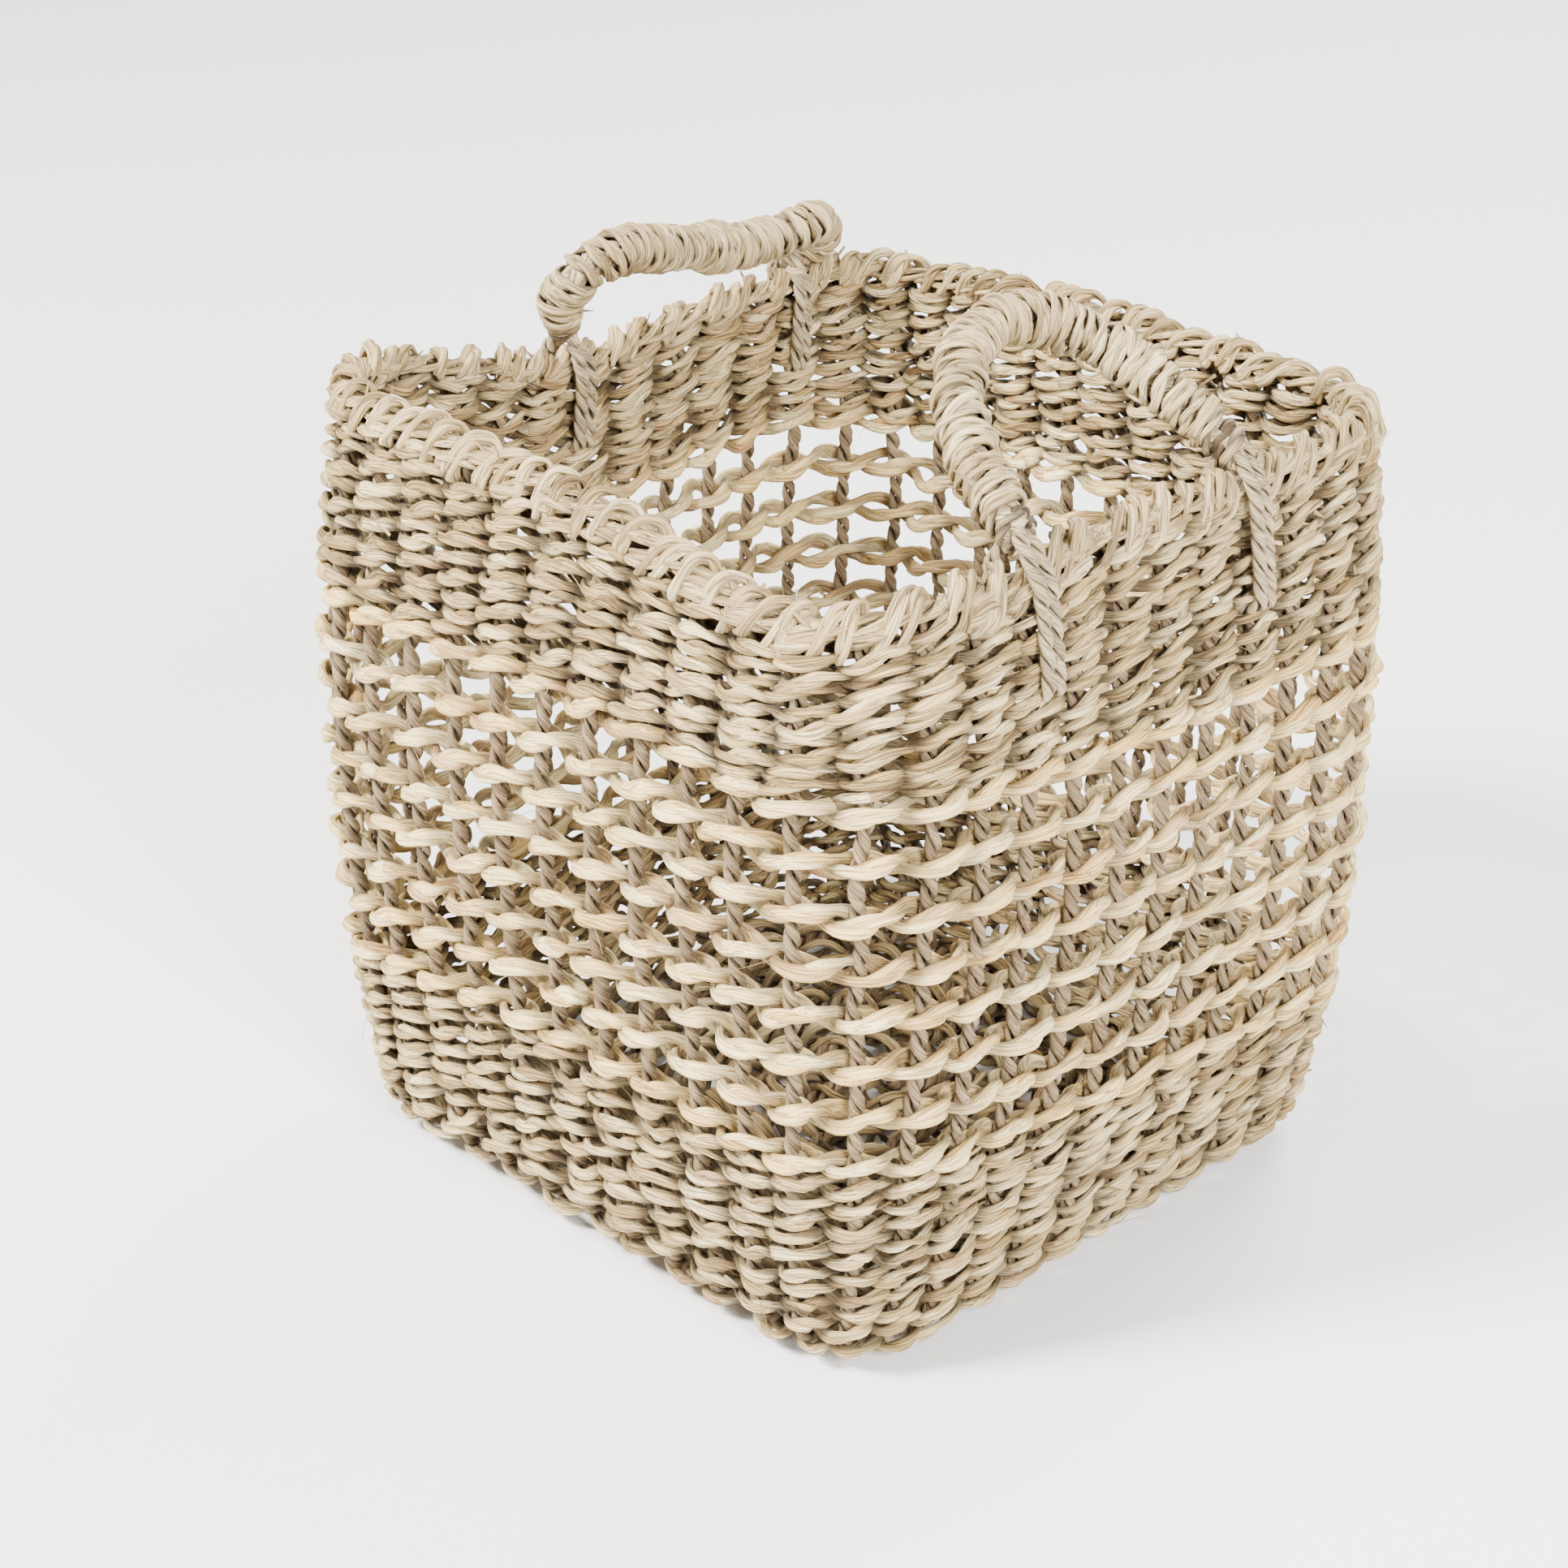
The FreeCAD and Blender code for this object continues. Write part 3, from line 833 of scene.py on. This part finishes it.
@dataclass
class WallRounds:
    """All the rounds of the wall, one mesh for each."""

    lower: int = 11
    light: int = 8
    upper: int = 9
    ends: LooseEnds = LooseEnds(count=5, shortest=0.006, longest=0.016, half_width=0.0011, lift=0.0035)
    hairs: LooseEnds = LooseEnds(count=7, shortest=0.008, longest=0.022, half_width=0.00022, lift=0.006)
    back: float = 12.0         # the rounds begin near the middle of the back

    def placer(self, height: float) -> Placer:
        """Returns the placer of the round at a height."""

        def at(stake: np.ndarray, through: np.ndarray, across: np.ndarray) -> tuple:
            """Places points beside this round."""
            return WALL.place(stake, np.full(len(stake), height), through, across)

        return at

    def build_round(
        self, node: str, twine: Twine, finish: LeafFinish, slot: Slot, seed: int, tone: float
    ) -> None:
        """Builds one round where its node lies.

        Args:
            node: CAD node of the round.
            twine: How its strands lie.
            finish: Finish of its leaves.
            slot: Slot of the record for its leaves.
            seed: Seed of its unevenness.
            tone: Usual shade of its leaves.
        """
        low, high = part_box(node)
        placer = self.placer((low[2] + high[2]) / 2)
        mesh = StrandMesh()
        rng = np.random.default_rng(seed)
        first = self.back + int(rng.integers(-3, 3)) + float(rng.normal(0, 0.05))
        lift = float(rng.normal(0, 0.03))
        twine_round(mesh, twine, placer, first, STAKES_ROUND, seed, tone + lift)
        self.ends.add(mesh, placer, seed + 500, tone)
        self.hairs.add(mesh, placer, seed + 900, tone)
        mesh.build(f"{node}_strands", finish, BASKET, slot, [node])

    def build(self) -> None:
        """Builds every round from the foot to the rim."""
        dense = (DENSE, SEAGRASS, Slot.SEAGRASS)
        for number in range(1, self.lower + 1):
            self.build_round(f"lower_row_{number:02d}", *dense, 100 + number, 0.56)
        for number in range(1, self.light + 1):
            self.build_round(f"light_row_{number}", LIGHT, CREAM, Slot.LIGHT_LEAF, 200 + number, 0.66)
        for number in range(1, self.upper + 1):
            self.build_round(f"upper_row_{number:02d}", *dense, 300 + number, 0.56)
        self.build_round("border_row", BORDER, EDGE, Slot.EDGE_BRAID, 400, 0.56)


# Stakes and base ---------------------------------------------------------------------------------


@dataclass(frozen=True)
class TwistedCord:
    """A cord of leaf plies twisted round each other."""

    plies: int = 2
    lay: float = 0.0174        # length of one full turn
    ply_offset: float = 0.00165
    half_width: float = 0.00195
    half_thick: float = 0.0016
    sides: int = 7

    def add(
        self,
        mesh: StrandMesh,
        points: np.ndarray,
        normal: np.ndarray,
        rng: np.random.Generator,
        tone: float,
    ) -> None:
        """Lays the plies along a line of points.

        Args:
            mesh: Mesh that the plies go into.
            points: Middle of the cord.
            normal: Any sideways direction at each point.
            rng: Source of its unevenness.
            tone: Usual shade.
        """
        count = len(points)
        side, face = strand_axes(points, normal)
        distance = travelled(points)
        knots = max(int(distance[-1] / 0.02), 3)
        start = rng.uniform(0, 1)
        # Painted shade: points near the cord's middle line, between its plies, are darkened.
        painted_gap_shade = PaintedGapShade(points, self.ply_offset * 0.75, self.ply_offset * 1.55)
        for ply in range(self.plies):
            turn = 2 * math.pi * (distance / self.lay + ply / self.plies + start)
            turn = turn + wander(rng, count, knots, 0.25)
            ray = spun(face, side, turn)
            centre = points + ray * self.ply_offset
            width = uneven(self.half_width, rng, count, knots, 0.1)
            thick = uneven(self.half_thick, rng, count, knots, 0.1)
            shade = np.clip(tone + wander(rng, count, knots, 0.14), 0, 1)
            mesh.add(centre, ray, width, thick, shade, self.sides, start=rng.uniform(0, 3), painted_gap_shade=painted_gap_shade)


ROPE = TwistedCord(plies=3, lay=0.035, ply_offset=0.0028, half_width=0.0036, half_thick=0.0034, sides=9)
TIE = TwistedCord(plies=2, lay=0.0155, ply_offset=0.00145, half_width=0.0018, half_thick=0.0015, sides=8)


@dataclass
class Stakes:
    """The upright stakes, each a two-ply cord from the base up to the rim."""

    cord: TwistedCord = TwistedCord()
    step: float = 0.0016
    corner_extra: int = 3      # stakes let in at each corner
    sway: float = 0.0006

    def line(self, stake: float, rng: np.random.Generator) -> tuple[np.ndarray, np.ndarray]:
        """Returns the points and outward normals of one stake's middle."""
        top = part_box("stakes_right")[1][2] - 0.002
        bend = np.linspace(-math.pi / 2, -WALL.turn_lean, 14)
        low = WALL.turn_height + WALL.turn_radius * np.sin(bend)
        high = np.arange(low[-1] + self.step, top, self.step)
        height = np.concatenate([low, high])
        place = stake + wander(rng, len(height), 12, self.sway / WALL.side_pitch * 1.5)
        through = wander(rng, len(height), 12, self.sway * 0.4)
        points, normal, _ = WALL.place(place, height, through, np.zeros(len(height)))
        return points, normal

    def build_group(self, node: str, stakes: Sequence[float], seed: int) -> None:
        """Builds the stakes of one node."""
        mesh = StrandMesh()
        for number, stake in enumerate(stakes):
            rng = np.random.default_rng(seed * 100 + number)
            points, normal = self.line(stake, rng)
            self.cord.add(mesh, points, normal, rng, 0.5)
        mesh.build(f"{node}_cords", STAKE, BASKET, Slot.STAKE_CORD, [node])

    def build(self) -> None:
        """Builds the four sides and the corners."""
        for quarter, name in enumerate(("right", "back", "left", "front")):
            middle = quarter * SIDE_UNITS
            stakes = range(middle - SIDE_HALF, middle + SIDE_HALF + 1)
            self.build_group(f"stakes_{name}", stakes, 20 + quarter)
        corners = []
        for quarter in range(4):
            corners += [quarter * SIDE_UNITS + SIDE_HALF + 1 + i for i in range(self.corner_extra)]
        self.build_group("stakes_corner", corners, 30)


@dataclass
class Base:
    """The flat base: crossed warps with rounds of twining through them."""

    rounds: int = 10
    pitch: float = 0.012
    warps: int = 9
    warp_half: float = 0.0025  # half of a warp's thickness
    dip: float = 0.016         # length at each end where a warp runs down to the walls
    cord: TwistedCord = TwistedCord()
    twine: Twine = BASE_TWINE

    def warp_group(self, node: str, along_x: bool, seed: int) -> None:
        """Builds the warps that cross the base one way."""
        low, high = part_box(node)
        mesh = StrandMesh()
        reach = (high[0] - low[0]) / 2 if along_x else (high[1] - low[1]) / 2
        bottom = low[2] + self.warp_half
        top = high[2] - self.warp_half
        share = np.linspace(-1, 1, 170)
        for i in range(self.warps):
            rng = np.random.default_rng(seed * 100 + i)
            across = (i - (self.warps - 1) / 2) * WALL.side_pitch + wander(rng, len(share), 9, 0.0004)
            down = smooth_step((np.abs(share) * reach - (reach - self.dip)) / self.dip)
            level = top - (top - bottom) * down
            run = share * reach
            columns = [run, across, level] if along_x else [across, run, level]
            points = np.stack(columns, axis=1)
            normal = np.tile(UPWARD, (len(share), 1))
            self.cord.add(mesh, points, normal, rng, 0.5)
        mesh.build(f"{node}_cords", STAKE, BASKET, Slot.STAKE_CORD, [node])

    def round_placer(self, half_side: float, middle: float) -> tuple[Placer, int]:
        """Lays out one round of the base.

        Args:
            half_side: Half of the width of the round.
            middle: Level of the round.

        Returns:
            The placer of the round and the number of its stitches.
        """
        corner = half_side / 2
        straight = half_side - corner
        quarter = 2 * straight + corner * math.pi / 2
        stitches = 2 * max(round(4 * quarter / WALL.side_pitch / 2), 2)

        def at(stake: np.ndarray, through: np.ndarray, across: np.ndarray) -> tuple:
            """Places points beside the round; through is up and across is outward."""
            distance = np.mod(stake / stitches, 1.0) * 4 * quarter
            side = np.floor(distance / quarter)
            local = distance - side * quarter
            turn = np.clip((local - 2 * straight) / corner, 0, math.pi / 2)
            run = np.minimum(local, 2 * straight) - straight
            ray = np.stack([np.cos(turn), np.sin(turn)], axis=1)
            flat = np.stack([np.full_like(run, straight), run], axis=1) + ray * (corner + across)[:, None]
            angle = side * math.pi / 2
            cosine, sine = np.cos(angle), np.sin(angle)
            spun = [flat[:, 0] * cosine - flat[:, 1] * sine, flat[:, 0] * sine + flat[:, 1] * cosine]
            points = np.stack([*spun, middle + through], axis=1)
            normal = np.tile(UPWARD, (len(run), 1))
            return points, normal, normal

        return at, stitches

    def build(self) -> None:
        """Builds the warps and the rounds."""
        self.warp_group("base_warps_lower", True, 41)
        self.warp_group("base_warps_upper", False, 42)
        for number in range(1, self.rounds + 1):
            node = f"base_round_{number}"
            low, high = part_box(node)
            placer, stitches = self.round_placer(number * self.pitch, (low[2] + high[2]) / 2)
            mesh = StrandMesh()
            twine_round(mesh, self.twine, placer, 0.5, stitches, 50 + number, 0.5)
            mesh.build(f"{node}_strands", SEAGRASS, BASKET, Slot.SEAGRASS, [node])


# Rim ---------------------------------------------------------------------------------------------


@dataclass
class Rim:
    """The edge: stake ends folded over each other, a laid-in braid and the cut ends."""

    fold_span: float = 0.9     # how many stakes a bundle passes before it tucks in
    fold_rise: float = 0.003
    fold_depth: float = 0.0053
    fold_twist: float = 1.3
    tuck: float = 0.011
    leaves: int = 2
    bundles: int = 112
    cut_ends: int = 60
    seed: int = 77
    points: int = 30           # points along a bundle
    leaf_half: float = 0.0017
    leaf_thick: float = 0.0014
    braid_strands: int = 4
    braid_start: float = 36.5  # stake count at which the braid begins, near the middle of the front
    braid_reach: float = 0.0044
    braid_half: float = 0.0023

    def fold(self, mesh: StrandMesh, stake: float, rng: np.random.Generator) -> None:
        """Adds one leaf bundle that climbs the outside, bends over the edge and tucks in.

        Args:
            mesh: Mesh that the bundle goes into.
            stake: Stake count at which it climbs.
            rng: Source of its unevenness.
        """
        count = self.points
        share = np.linspace(0, 1, count)
        level = float(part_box("edge_braid")[0][2])
        span = self.fold_span * rng.uniform(0.5, 1.5)
        place = stake + span * share
        crest = self.fold_rise * rng.uniform(0.1, 1.3)
        swing = math.pi * smooth_step((share - 0.12) / 0.88)
        through = self.fold_depth * rng.uniform(0.85, 1.1) * np.cos(swing)
        through = through - 0.0035 * smooth_step(1 - share / 0.2)
        climb = -self.tuck * rng.uniform(0.8, 1.15) * smooth_step(1 - share / 0.55)
        height = climb + (crest + 0.0045) * smooth_step(share / 0.5)
        height = height - (self.tuck * 0.7 + crest) * smooth_step((share - 0.62) / 0.38)
        points, _, _ = WALL.place(place, np.full(count, level), through, height)
        middle, _, _ = WALL.place(place, np.full(count, level), through * 0, height * 0 - 0.002)
        # Painted shade: points near a line just under the edge, inside the fold, are darkened.
        painted_gap_shade = PaintedGapShade(middle, 0.0022, 0.0058)
        side, face = strand_axes(points, unit(points - middle))
        tone = rng.normal(0.5, 0.18)
        start = rng.uniform(0, 1)
        for leaf in range(self.leaves):
            turn = 2 * math.pi * (leaf / self.leaves + self.fold_twist * share + start)
            centre = moved(points, (side, 0.0013 * np.cos(turn)), (face, 0.001 * np.sin(turn)))
            width = uneven(self.leaf_half, rng, count, 5, 0.22)
            thick = uneven(self.leaf_thick, rng, count, 5, 0.18)
            shade = float(np.clip(tone + rng.normal(0, 0.12), 0, 1))
            mesh.add(centre, face, width, thick, shade, 8, start=rng.uniform(0, 3), painted_gap_shade=painted_gap_shade)

    def braid(self, mesh: StrandMesh, rng: np.random.Generator) -> None:
        """Adds the laid-in strands that fill the top of the edge."""
        low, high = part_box("edge_braid")
        level = float((low[2] + high[2]) / 2) - 0.0012
        count = STAKES_ROUND * 12 + 1
        place = np.linspace(0, STAKES_ROUND, count) + self.braid_start
        for strand in range(self.braid_strands):
            turn = 2 * math.pi * (place * 0.5 + strand / self.braid_strands) + wander(rng, count, 60, 0.3)
            through = self.braid_reach * np.cos(turn)
            across = -0.0012 + 0.0021 * np.sin(turn) + wander(rng, count, 40, 0.0004)
            points, normal, up = WALL.place(place, np.full(count, level), through, across)
            shade = np.clip(0.55 + wander(rng, count, 40, 0.14), 0, 1)
            width = uneven(self.braid_half, rng, count, 60, 0.12)
            thick = uneven(self.leaf_thick, rng, count, 60, 0.12)
            mesh.add(points, unit(up + normal * 0.2), width, thick, shade, 8, start=rng.uniform(0, 3))

    def ends(self, mesh: StrandMesh, rng: np.random.Generator) -> None:
        """Adds the short cut ends that stand up from the edge."""
        level = float(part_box("edge_braid")[1][2]) - 0.004
        for _ in range(self.cut_ends):
            share = np.linspace(0, 1, 7)
            length = rng.uniform(0.004, 0.010)
            stake = rng.uniform(0, STAKES_ROUND) + share * rng.uniform(-0.35, 0.35)
            through = rng.normal(0, 0.0028) + share * rng.normal(0, 0.003)
            across = share * length
            points, normal, _ = WALL.place(stake, np.full(7, level), through, across)
            half = rng.uniform(0.0006, 0.0013)
            shade = float(np.clip(rng.normal(0.6, 0.15), 0, 1))
            width = half * (1 - 0.35 * share)
            mesh.add(points, normal, width, half * 0.35, shade, 5, start=rng.uniform(0, 3))

    def build(self) -> None:
        """Builds the whole rim."""
        rng = np.random.default_rng(self.seed)
        mesh = StrandMesh()
        for number in range(self.bundles):
            self.fold(mesh, number * STAKES_ROUND / self.bundles + float(rng.normal(0, 0.08)), rng)
        self.braid(mesh, rng)
        self.ends(mesh, rng)
        mesh.build("edge_braid_strands", EDGE, BASKET, Slot.EDGE_BRAID, ["edge_braid"])


# Handles -----------------------------------------------------------------------------------------


@dataclass
class Handle:
    """One rope handle with its wrapping, its ends and the cords that tie it on."""

    name: str
    joint: str
    side: float                # 1 for the right side of the basket, -1 for the left
    outline: tuple             # along the edge and out from the hinge, in millimetres
    bends: tuple               # radius at each inner point of the outline, in millimetres
    lean: float                # degrees inward from upright
    drop: float                # how far the settled handle lies below its even place
    seed: int
    wrap_radius: float = 0.0079
    wrap_turns: float = 102.0  # turns of each wrapping strand in a metre
    wrap_strands: int = 2
    ply_lay: float = 1250.0    # radians that a strand's two leaves twist in a metre of handle
    leaf_half: float = 0.00165
    leaf_thick: float = 0.00125
    crossing_leaves: int = 16
    tie_shift: float = 0.0026  # how far each turn of the tying cord lies from the foot's middle

    def line(self) -> np.ndarray:
        """Returns the middle of the handle from its front foot to its rear foot."""
        joints = frame["record"]["behaviour"]["joints"]
        hinge = next(joint for joint in joints if joint["name"] == self.joint)["pos_m"]
        bends = [bend / 1000 for bend in self.bends]
        flat = rounded_line(np.array(self.outline) / 1000, bends, 0.0006)
        tilt = math.radians(self.lean)
        along, out = flat[:, 0], flat[:, 1]
        x = hinge[0] - self.side * out * math.sin(tilt)
        z = hinge[2] + out * math.cos(tilt) - self.drop
        return np.stack([x, along, z], axis=1)

    def wrapping(self, mesh: StrandMesh, line: np.ndarray) -> None:
        """Winds the wrapping strands round the core."""
        rng = np.random.default_rng(self.seed)
        tangent = unit(np.gradient(line, axis=0))
        out = carried_normals(line, UPWARD)
        side = np.cross(tangent, out)
        distance = travelled(line)
        total = distance[-1]
        turns = total * self.wrap_turns
        fine = np.linspace(0, total, int(turns * 26))
        middle, ahead, outward, sideways = (
            np.stack([np.interp(fine, distance, column) for column in part.T], axis=1)
            for part in (line, tangent, out, side)
        )
        closing = 0.62 + 0.38 * smooth_step(np.minimum(fine, total - fine) / 0.018)
        lumps = wander(rng, len(fine), int(total / 0.013), 0.0005)
        for strand in range(self.wrap_strands):
            turn = 2 * math.pi * (fine * self.wrap_turns + strand / self.wrap_strands)
            turn = turn + wander(rng, len(fine), int(turns), 0.28)
            ray = spun(outward, sideways, turn)
            radius = self.wrap_radius * closing + lumps + wander(rng, len(fine), int(turns * 1.5), 0.0005)
            slide = wander(rng, len(fine), int(turns * 1.3), 0.0008)
            centre = moved(middle, (ray, radius), (ahead, slide))
            # Painted shade: points near the handle's middle line, down between the wrapping turns, are
            # darkened.
            painted_gap_shade = PaintedGapShade(middle, self.wrap_radius * 0.86, self.wrap_radius * 1.13)
            for ply in range(2):
                lay = math.pi * ply + fine * self.ply_lay + wander(rng, len(fine), int(turns * 2), 0.5)
                aside = moved(centre, (ahead, 0.00115 * np.cos(lay)), (ray, 0.0007 * np.sin(lay)))
                width = uneven(self.leaf_half, rng, len(fine), int(turns * 2), 0.18)
                thick = uneven(self.leaf_thick, rng, len(fine), int(turns * 2), 0.18)
                roll = 0.5 * np.sin(lay) + wander(rng, len(fine), int(turns * 1.5), 0.28)
                flat = spun(ray, ahead, roll)
                shade = np.clip(0.55 + wander(rng, len(fine), int(turns * 0.8), 0.2), 0, 1)
                mesh.add(aside, flat, width, thick, shade, 8, start=rng.uniform(0, 3), painted_gap_shade=painted_gap_shade)
        self.crossings(mesh, (middle, ahead, outward, sideways), rng)

    def crossings(self, mesh: StrandMesh, course: tuple, rng: np.random.Generator) -> None:
        """Adds the leaves that cross over the regular turns, and two pointed ends.

        Args:
            mesh: Mesh that the leaves go into.
            course: Middle of the handle and its directions ahead, outward and sideways.
            rng: Source of their places.
        """
        middle, ahead, outward, sideways = course
        count = len(middle)
        for _ in range(self.crossing_leaves):
            start = int(rng.uniform(0.03, 0.9) * count)
            span = int(rng.uniform(20, 34))
            pick = np.arange(start, min(start + span, count - 1))
            share = np.linspace(0, 1, len(pick))
            turn = rng.uniform(0, 2 * math.pi) + share * rng.uniform(2.5, 4.5)
            ray = spun(outward[pick], sideways[pick], turn)
            lift = self.wrap_radius + 0.0004 + 0.0012 * np.sin(math.pi * share)
            slide = (share - 0.5) * rng.uniform(-0.007, 0.007)
            centre = moved(middle[pick], (ray, lift), (ahead[pick], slide))
            width = 0.0023 * (0.35 + 0.65 * np.sin(math.pi * share) ** 0.5)
            shade = float(rng.uniform(0.45, 0.8))
            mesh.add(centre, ray, width, 0.0009, shade, 7, start=rng.uniform(0, 3))
        for number, lift in enumerate((0.010, 0.007)):
            pick = int(count * (0.085 + 0.02 * number))
            share = np.linspace(0, 1, 8)
            ray = unit(-sideways[pick] + outward[pick] * (0.5 - number))
            centre = middle[pick] + ray * (self.wrap_radius - 0.001) + ray * (share * lift)[:, None]
            centre = centre + ahead[pick] * (share * 0.006)[:, None]
            width = 0.0014 * (1 - 0.9 * share) + 0.0001
            mesh.add(centre, np.tile(ahead[pick], (8, 1)), width, width * 0.5, 0.7, 6)

    def core(self, mesh: StrandMesh, line: np.ndarray) -> None:
        """Adds the plied rope inside the wrapping."""
        rng = np.random.default_rng(self.seed + 1)
        coarse = line[::3]
        normal = carried_normals(coarse, UPWARD)
        ROPE.add(mesh, coarse, normal, rng, 0.4)

    def tie(self, where: str, foot: np.ndarray) -> None:
        """Builds the cords that tie one foot over the edge and through the wall.

        Args:
            where: Which foot, "front" or "rear".
            foot: Point at the end of the handle's middle line.
        """
        node = f"tie_cord_{self.name}_{where}"
        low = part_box(node)[0]
        mesh = StrandMesh()
        rng = np.random.default_rng(self.seed + (11 if where == "front" else 12))
        last = SIDE_HALF * WALL.side_pitch
        away = abs(foot[1])
        count = min(away, last) / WALL.side_pitch + max(away - last, 0) / WALL.corner_pitch
        stake = (0 if self.side > 0 else 2 * SIDE_UNITS) + self.side * math.copysign(count, foot[1])
        edge = float(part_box("edge_braid")[1][2])
        base = float(low[2]) + 0.002
        for turn in (-1, 1):
            shift = turn * self.tie_shift / WALL.side_pitch
            levels = [edge - 0.004, edge + 0.001, edge - 0.005, edge - 0.02, base + 0.004, base]
            depths = [0.0, 0.0095, 0.0105, 0.0092, 0.0084, 0.0]
            slides = [0.0, 0.05, 0.12, 0.22, 0.30, 0.30]
            stations = zip(slides, levels, depths)
            outer = [(stake + shift + slide * self.side, level, depth) for slide, level, depth in stations]
            inner = [(place, level, -depth) for place, level, depth in reversed(outer)][1:]
            route = np.array(outer[1:] + inner[:-1])
            points, _, _ = WALL.place(route[:, 0], route[:, 1], route[:, 2], np.zeros(len(route)))
            start = foot + np.array([0.0, turn * 0.0024, 0.003])
            corners = np.vstack([[start], points, [start]])
            bends = [0.0035] * (len(corners) - 2)
            path = rounded_line(corners, bends, 0.0011)
            TIE.add(mesh, path, carried_normals(path, np.array([0.3, 1.0, 0.2])), rng, 0.6)
        mesh.build(f"{node}_cords", CORD, BASKET, Slot.TIE_CORD, [node])

    def build(self) -> None:
        """Builds the rope, the wrapping and both ties."""
        line = self.line()
        body = f"{self.name}_handle"
        wrap = StrandMesh()
        self.wrapping(wrap, line)
        node = f"handle_wrap_{self.name}"
        wrap.build(f"{node}_strands", WRAP, body, Slot.HANDLE_WRAP, [node])
        core = StrandMesh()
        self.core(core, line)
        node = f"handle_rope_{self.name}"
        core.build(f"{node}_plies", CORD, body, Slot.HANDLE_CORE, [node])
        self.tie("front", line[0])
        self.tie("rear", line[-1])


RIGHT_HANDLE = Handle(
    name="right", joint="right_handle_swing", side=1.0, lean=60.0, drop=0.008, seed=601,
    outline=(
        (-77.0, 0.0), (-74.0, 18.0), (-68.0, 36.0), (-56.0, 56.0), (-37.0, 75.0), (-12.0, 85.5),
        (10.0, 80.0), (25.0, 64.0), (32.0, 48.0), (36.0, 26.0), (40.0, 0.0),
    ),
    bends=(30.0,) * 9,
)
LEFT_HANDLE = Handle(
    name="left", joint="left_handle_swing", side=-1.0, lean=36.0, drop=0.022, seed=701,
    outline=(
        (-16.0, 0.0), (-28.0, 20.0), (-27.0, 38.0), (-10.0, 47.0), (37.0, 34.5), (68.0, 25.0),
        (93.0, 25.0), (112.0, 29.0), (124.0, 19.0), (117.0, 6.0), (112.0, -1.0),
    ),
    bends=(14.0, 9.0, 20.0, 60.0, 60.0, 40.0, 9.0, 8.0, 20.0),
)


# Studio ------------------------------------------------------------------------------------------


@dataclass
class Studio:
    """Plain pale floor, soft lights and the camera."""

    floor_half: float = 6.0
    azimuth: float = 44.73
    pitch: float = 25.97
    roll: float = 0.88
    distance: float = 1.318
    aim_height: float = 0.1521
    aim_side: float = -0.0252
    lens: float = 75.3
    sensor: float = 36.0
    aim: tuple = (0.0, 0.0, 0.2)   # point that the lights face

    def floor(self) -> None:
        """Builds the floor."""
        mesh = bpy.data.meshes.new("floor")
        size = self.floor_half
        corners = [(-size, -size, 0), (size, -size, 0), (size, size, 0), (-size, size, 0)]
        mesh.from_pydata(corners, [], [(0, 1, 2, 3)])
        piece = new_piece("floor", mesh)
        material = bpy.data.materials.new("pale_floor")
        material.use_nodes = True
        surface = material.node_tree.nodes["Principled BSDF"]
        surface.inputs["Base Color"].default_value = (0.86, 0.85, 0.84, 1)
        surface.inputs["Roughness"].default_value = 0.55
        mesh.materials.append(material)

    def light(self, name: str, place: tuple, size: float, power: float, colour: tuple) -> None:
        """Adds one square soft light aimed at the basket.

        Args:
            name: Name of the light.
            place: Where it hangs.
            size: Length of its side.
            power: Its strength in watts.
            colour: Its colour.
        """
        lamp = bpy.data.lights.new(name, "AREA")
        lamp.size = size
        lamp.energy = power
        lamp.color = colour
        away = -unit(np.array(self.aim) - np.array(place))
        side = unit(np.cross(UPWARD, away))
        stand(new_piece(name, lamp), [side, np.cross(away, side), away], place)

    def lights(self) -> None:
        """Adds the lights and the pale surroundings."""
        self.light("key", (-1.0, -2.4, 2.6), 0.8, 540.0, (1.0, 0.97, 0.92))
        self.light("fill", (2.6, -0.9, 1.7), 1.1, 300.0, (1.0, 0.99, 0.97))
        self.light("back", (-0.6, 2.6, 2.4), 1.6, 190.0, (1.0, 1.0, 1.0))
        world = bpy.data.worlds.new("surroundings")
        world.use_nodes = True
        background = world.node_tree.nodes["Background"]
        background.inputs["Color"].default_value = (0.94, 0.96, 1.0, 1)
        background.inputs["Strength"].default_value = 0.6
        bpy.context.scene.world = world

    def camera(self) -> None:
        """Adds the camera at its place in front of the basket."""
        turn, down, tip = (math.radians(a) for a in (self.azimuth, self.pitch, self.roll))
        right = np.array([math.cos(turn), math.sin(turn), 0.0])
        level = math.cos(down)
        ahead = np.array([-math.sin(turn) * level, math.cos(turn) * level, -math.sin(down)])
        up = np.cross(right, ahead)
        tipped_right = right * math.cos(tip) + up * math.sin(tip)
        tipped_up = -right * math.sin(tip) + up * math.cos(tip)
        target = np.array([0.0, 0.0, self.aim_height]) + right * self.aim_side
        lens = bpy.data.cameras.new("camera")
        lens.lens = self.lens
        lens.sensor_width = self.sensor
        piece = new_piece("camera", lens)
        stand(piece, [tipped_right, tipped_up, -ahead], target - ahead * self.distance)
        bpy.context.scene.camera = piece

    def build(self) -> None:
        """Sets up the whole studio."""
        self.floor()
        self.lights()
        self.camera()


def main() -> None:
    """Builds the basket from its base up to the handles, then the studio round it."""
    logging.basicConfig(level=logging.INFO, format="%(name)s: %(message)s")
    Base().build()
    Stakes().build()
    WallRounds().build()
    Rim().build()
    RIGHT_HANDLE.build()
    LEFT_HANDLE.build()
    Studio().build()


if __name__ == "__main__":
    main()
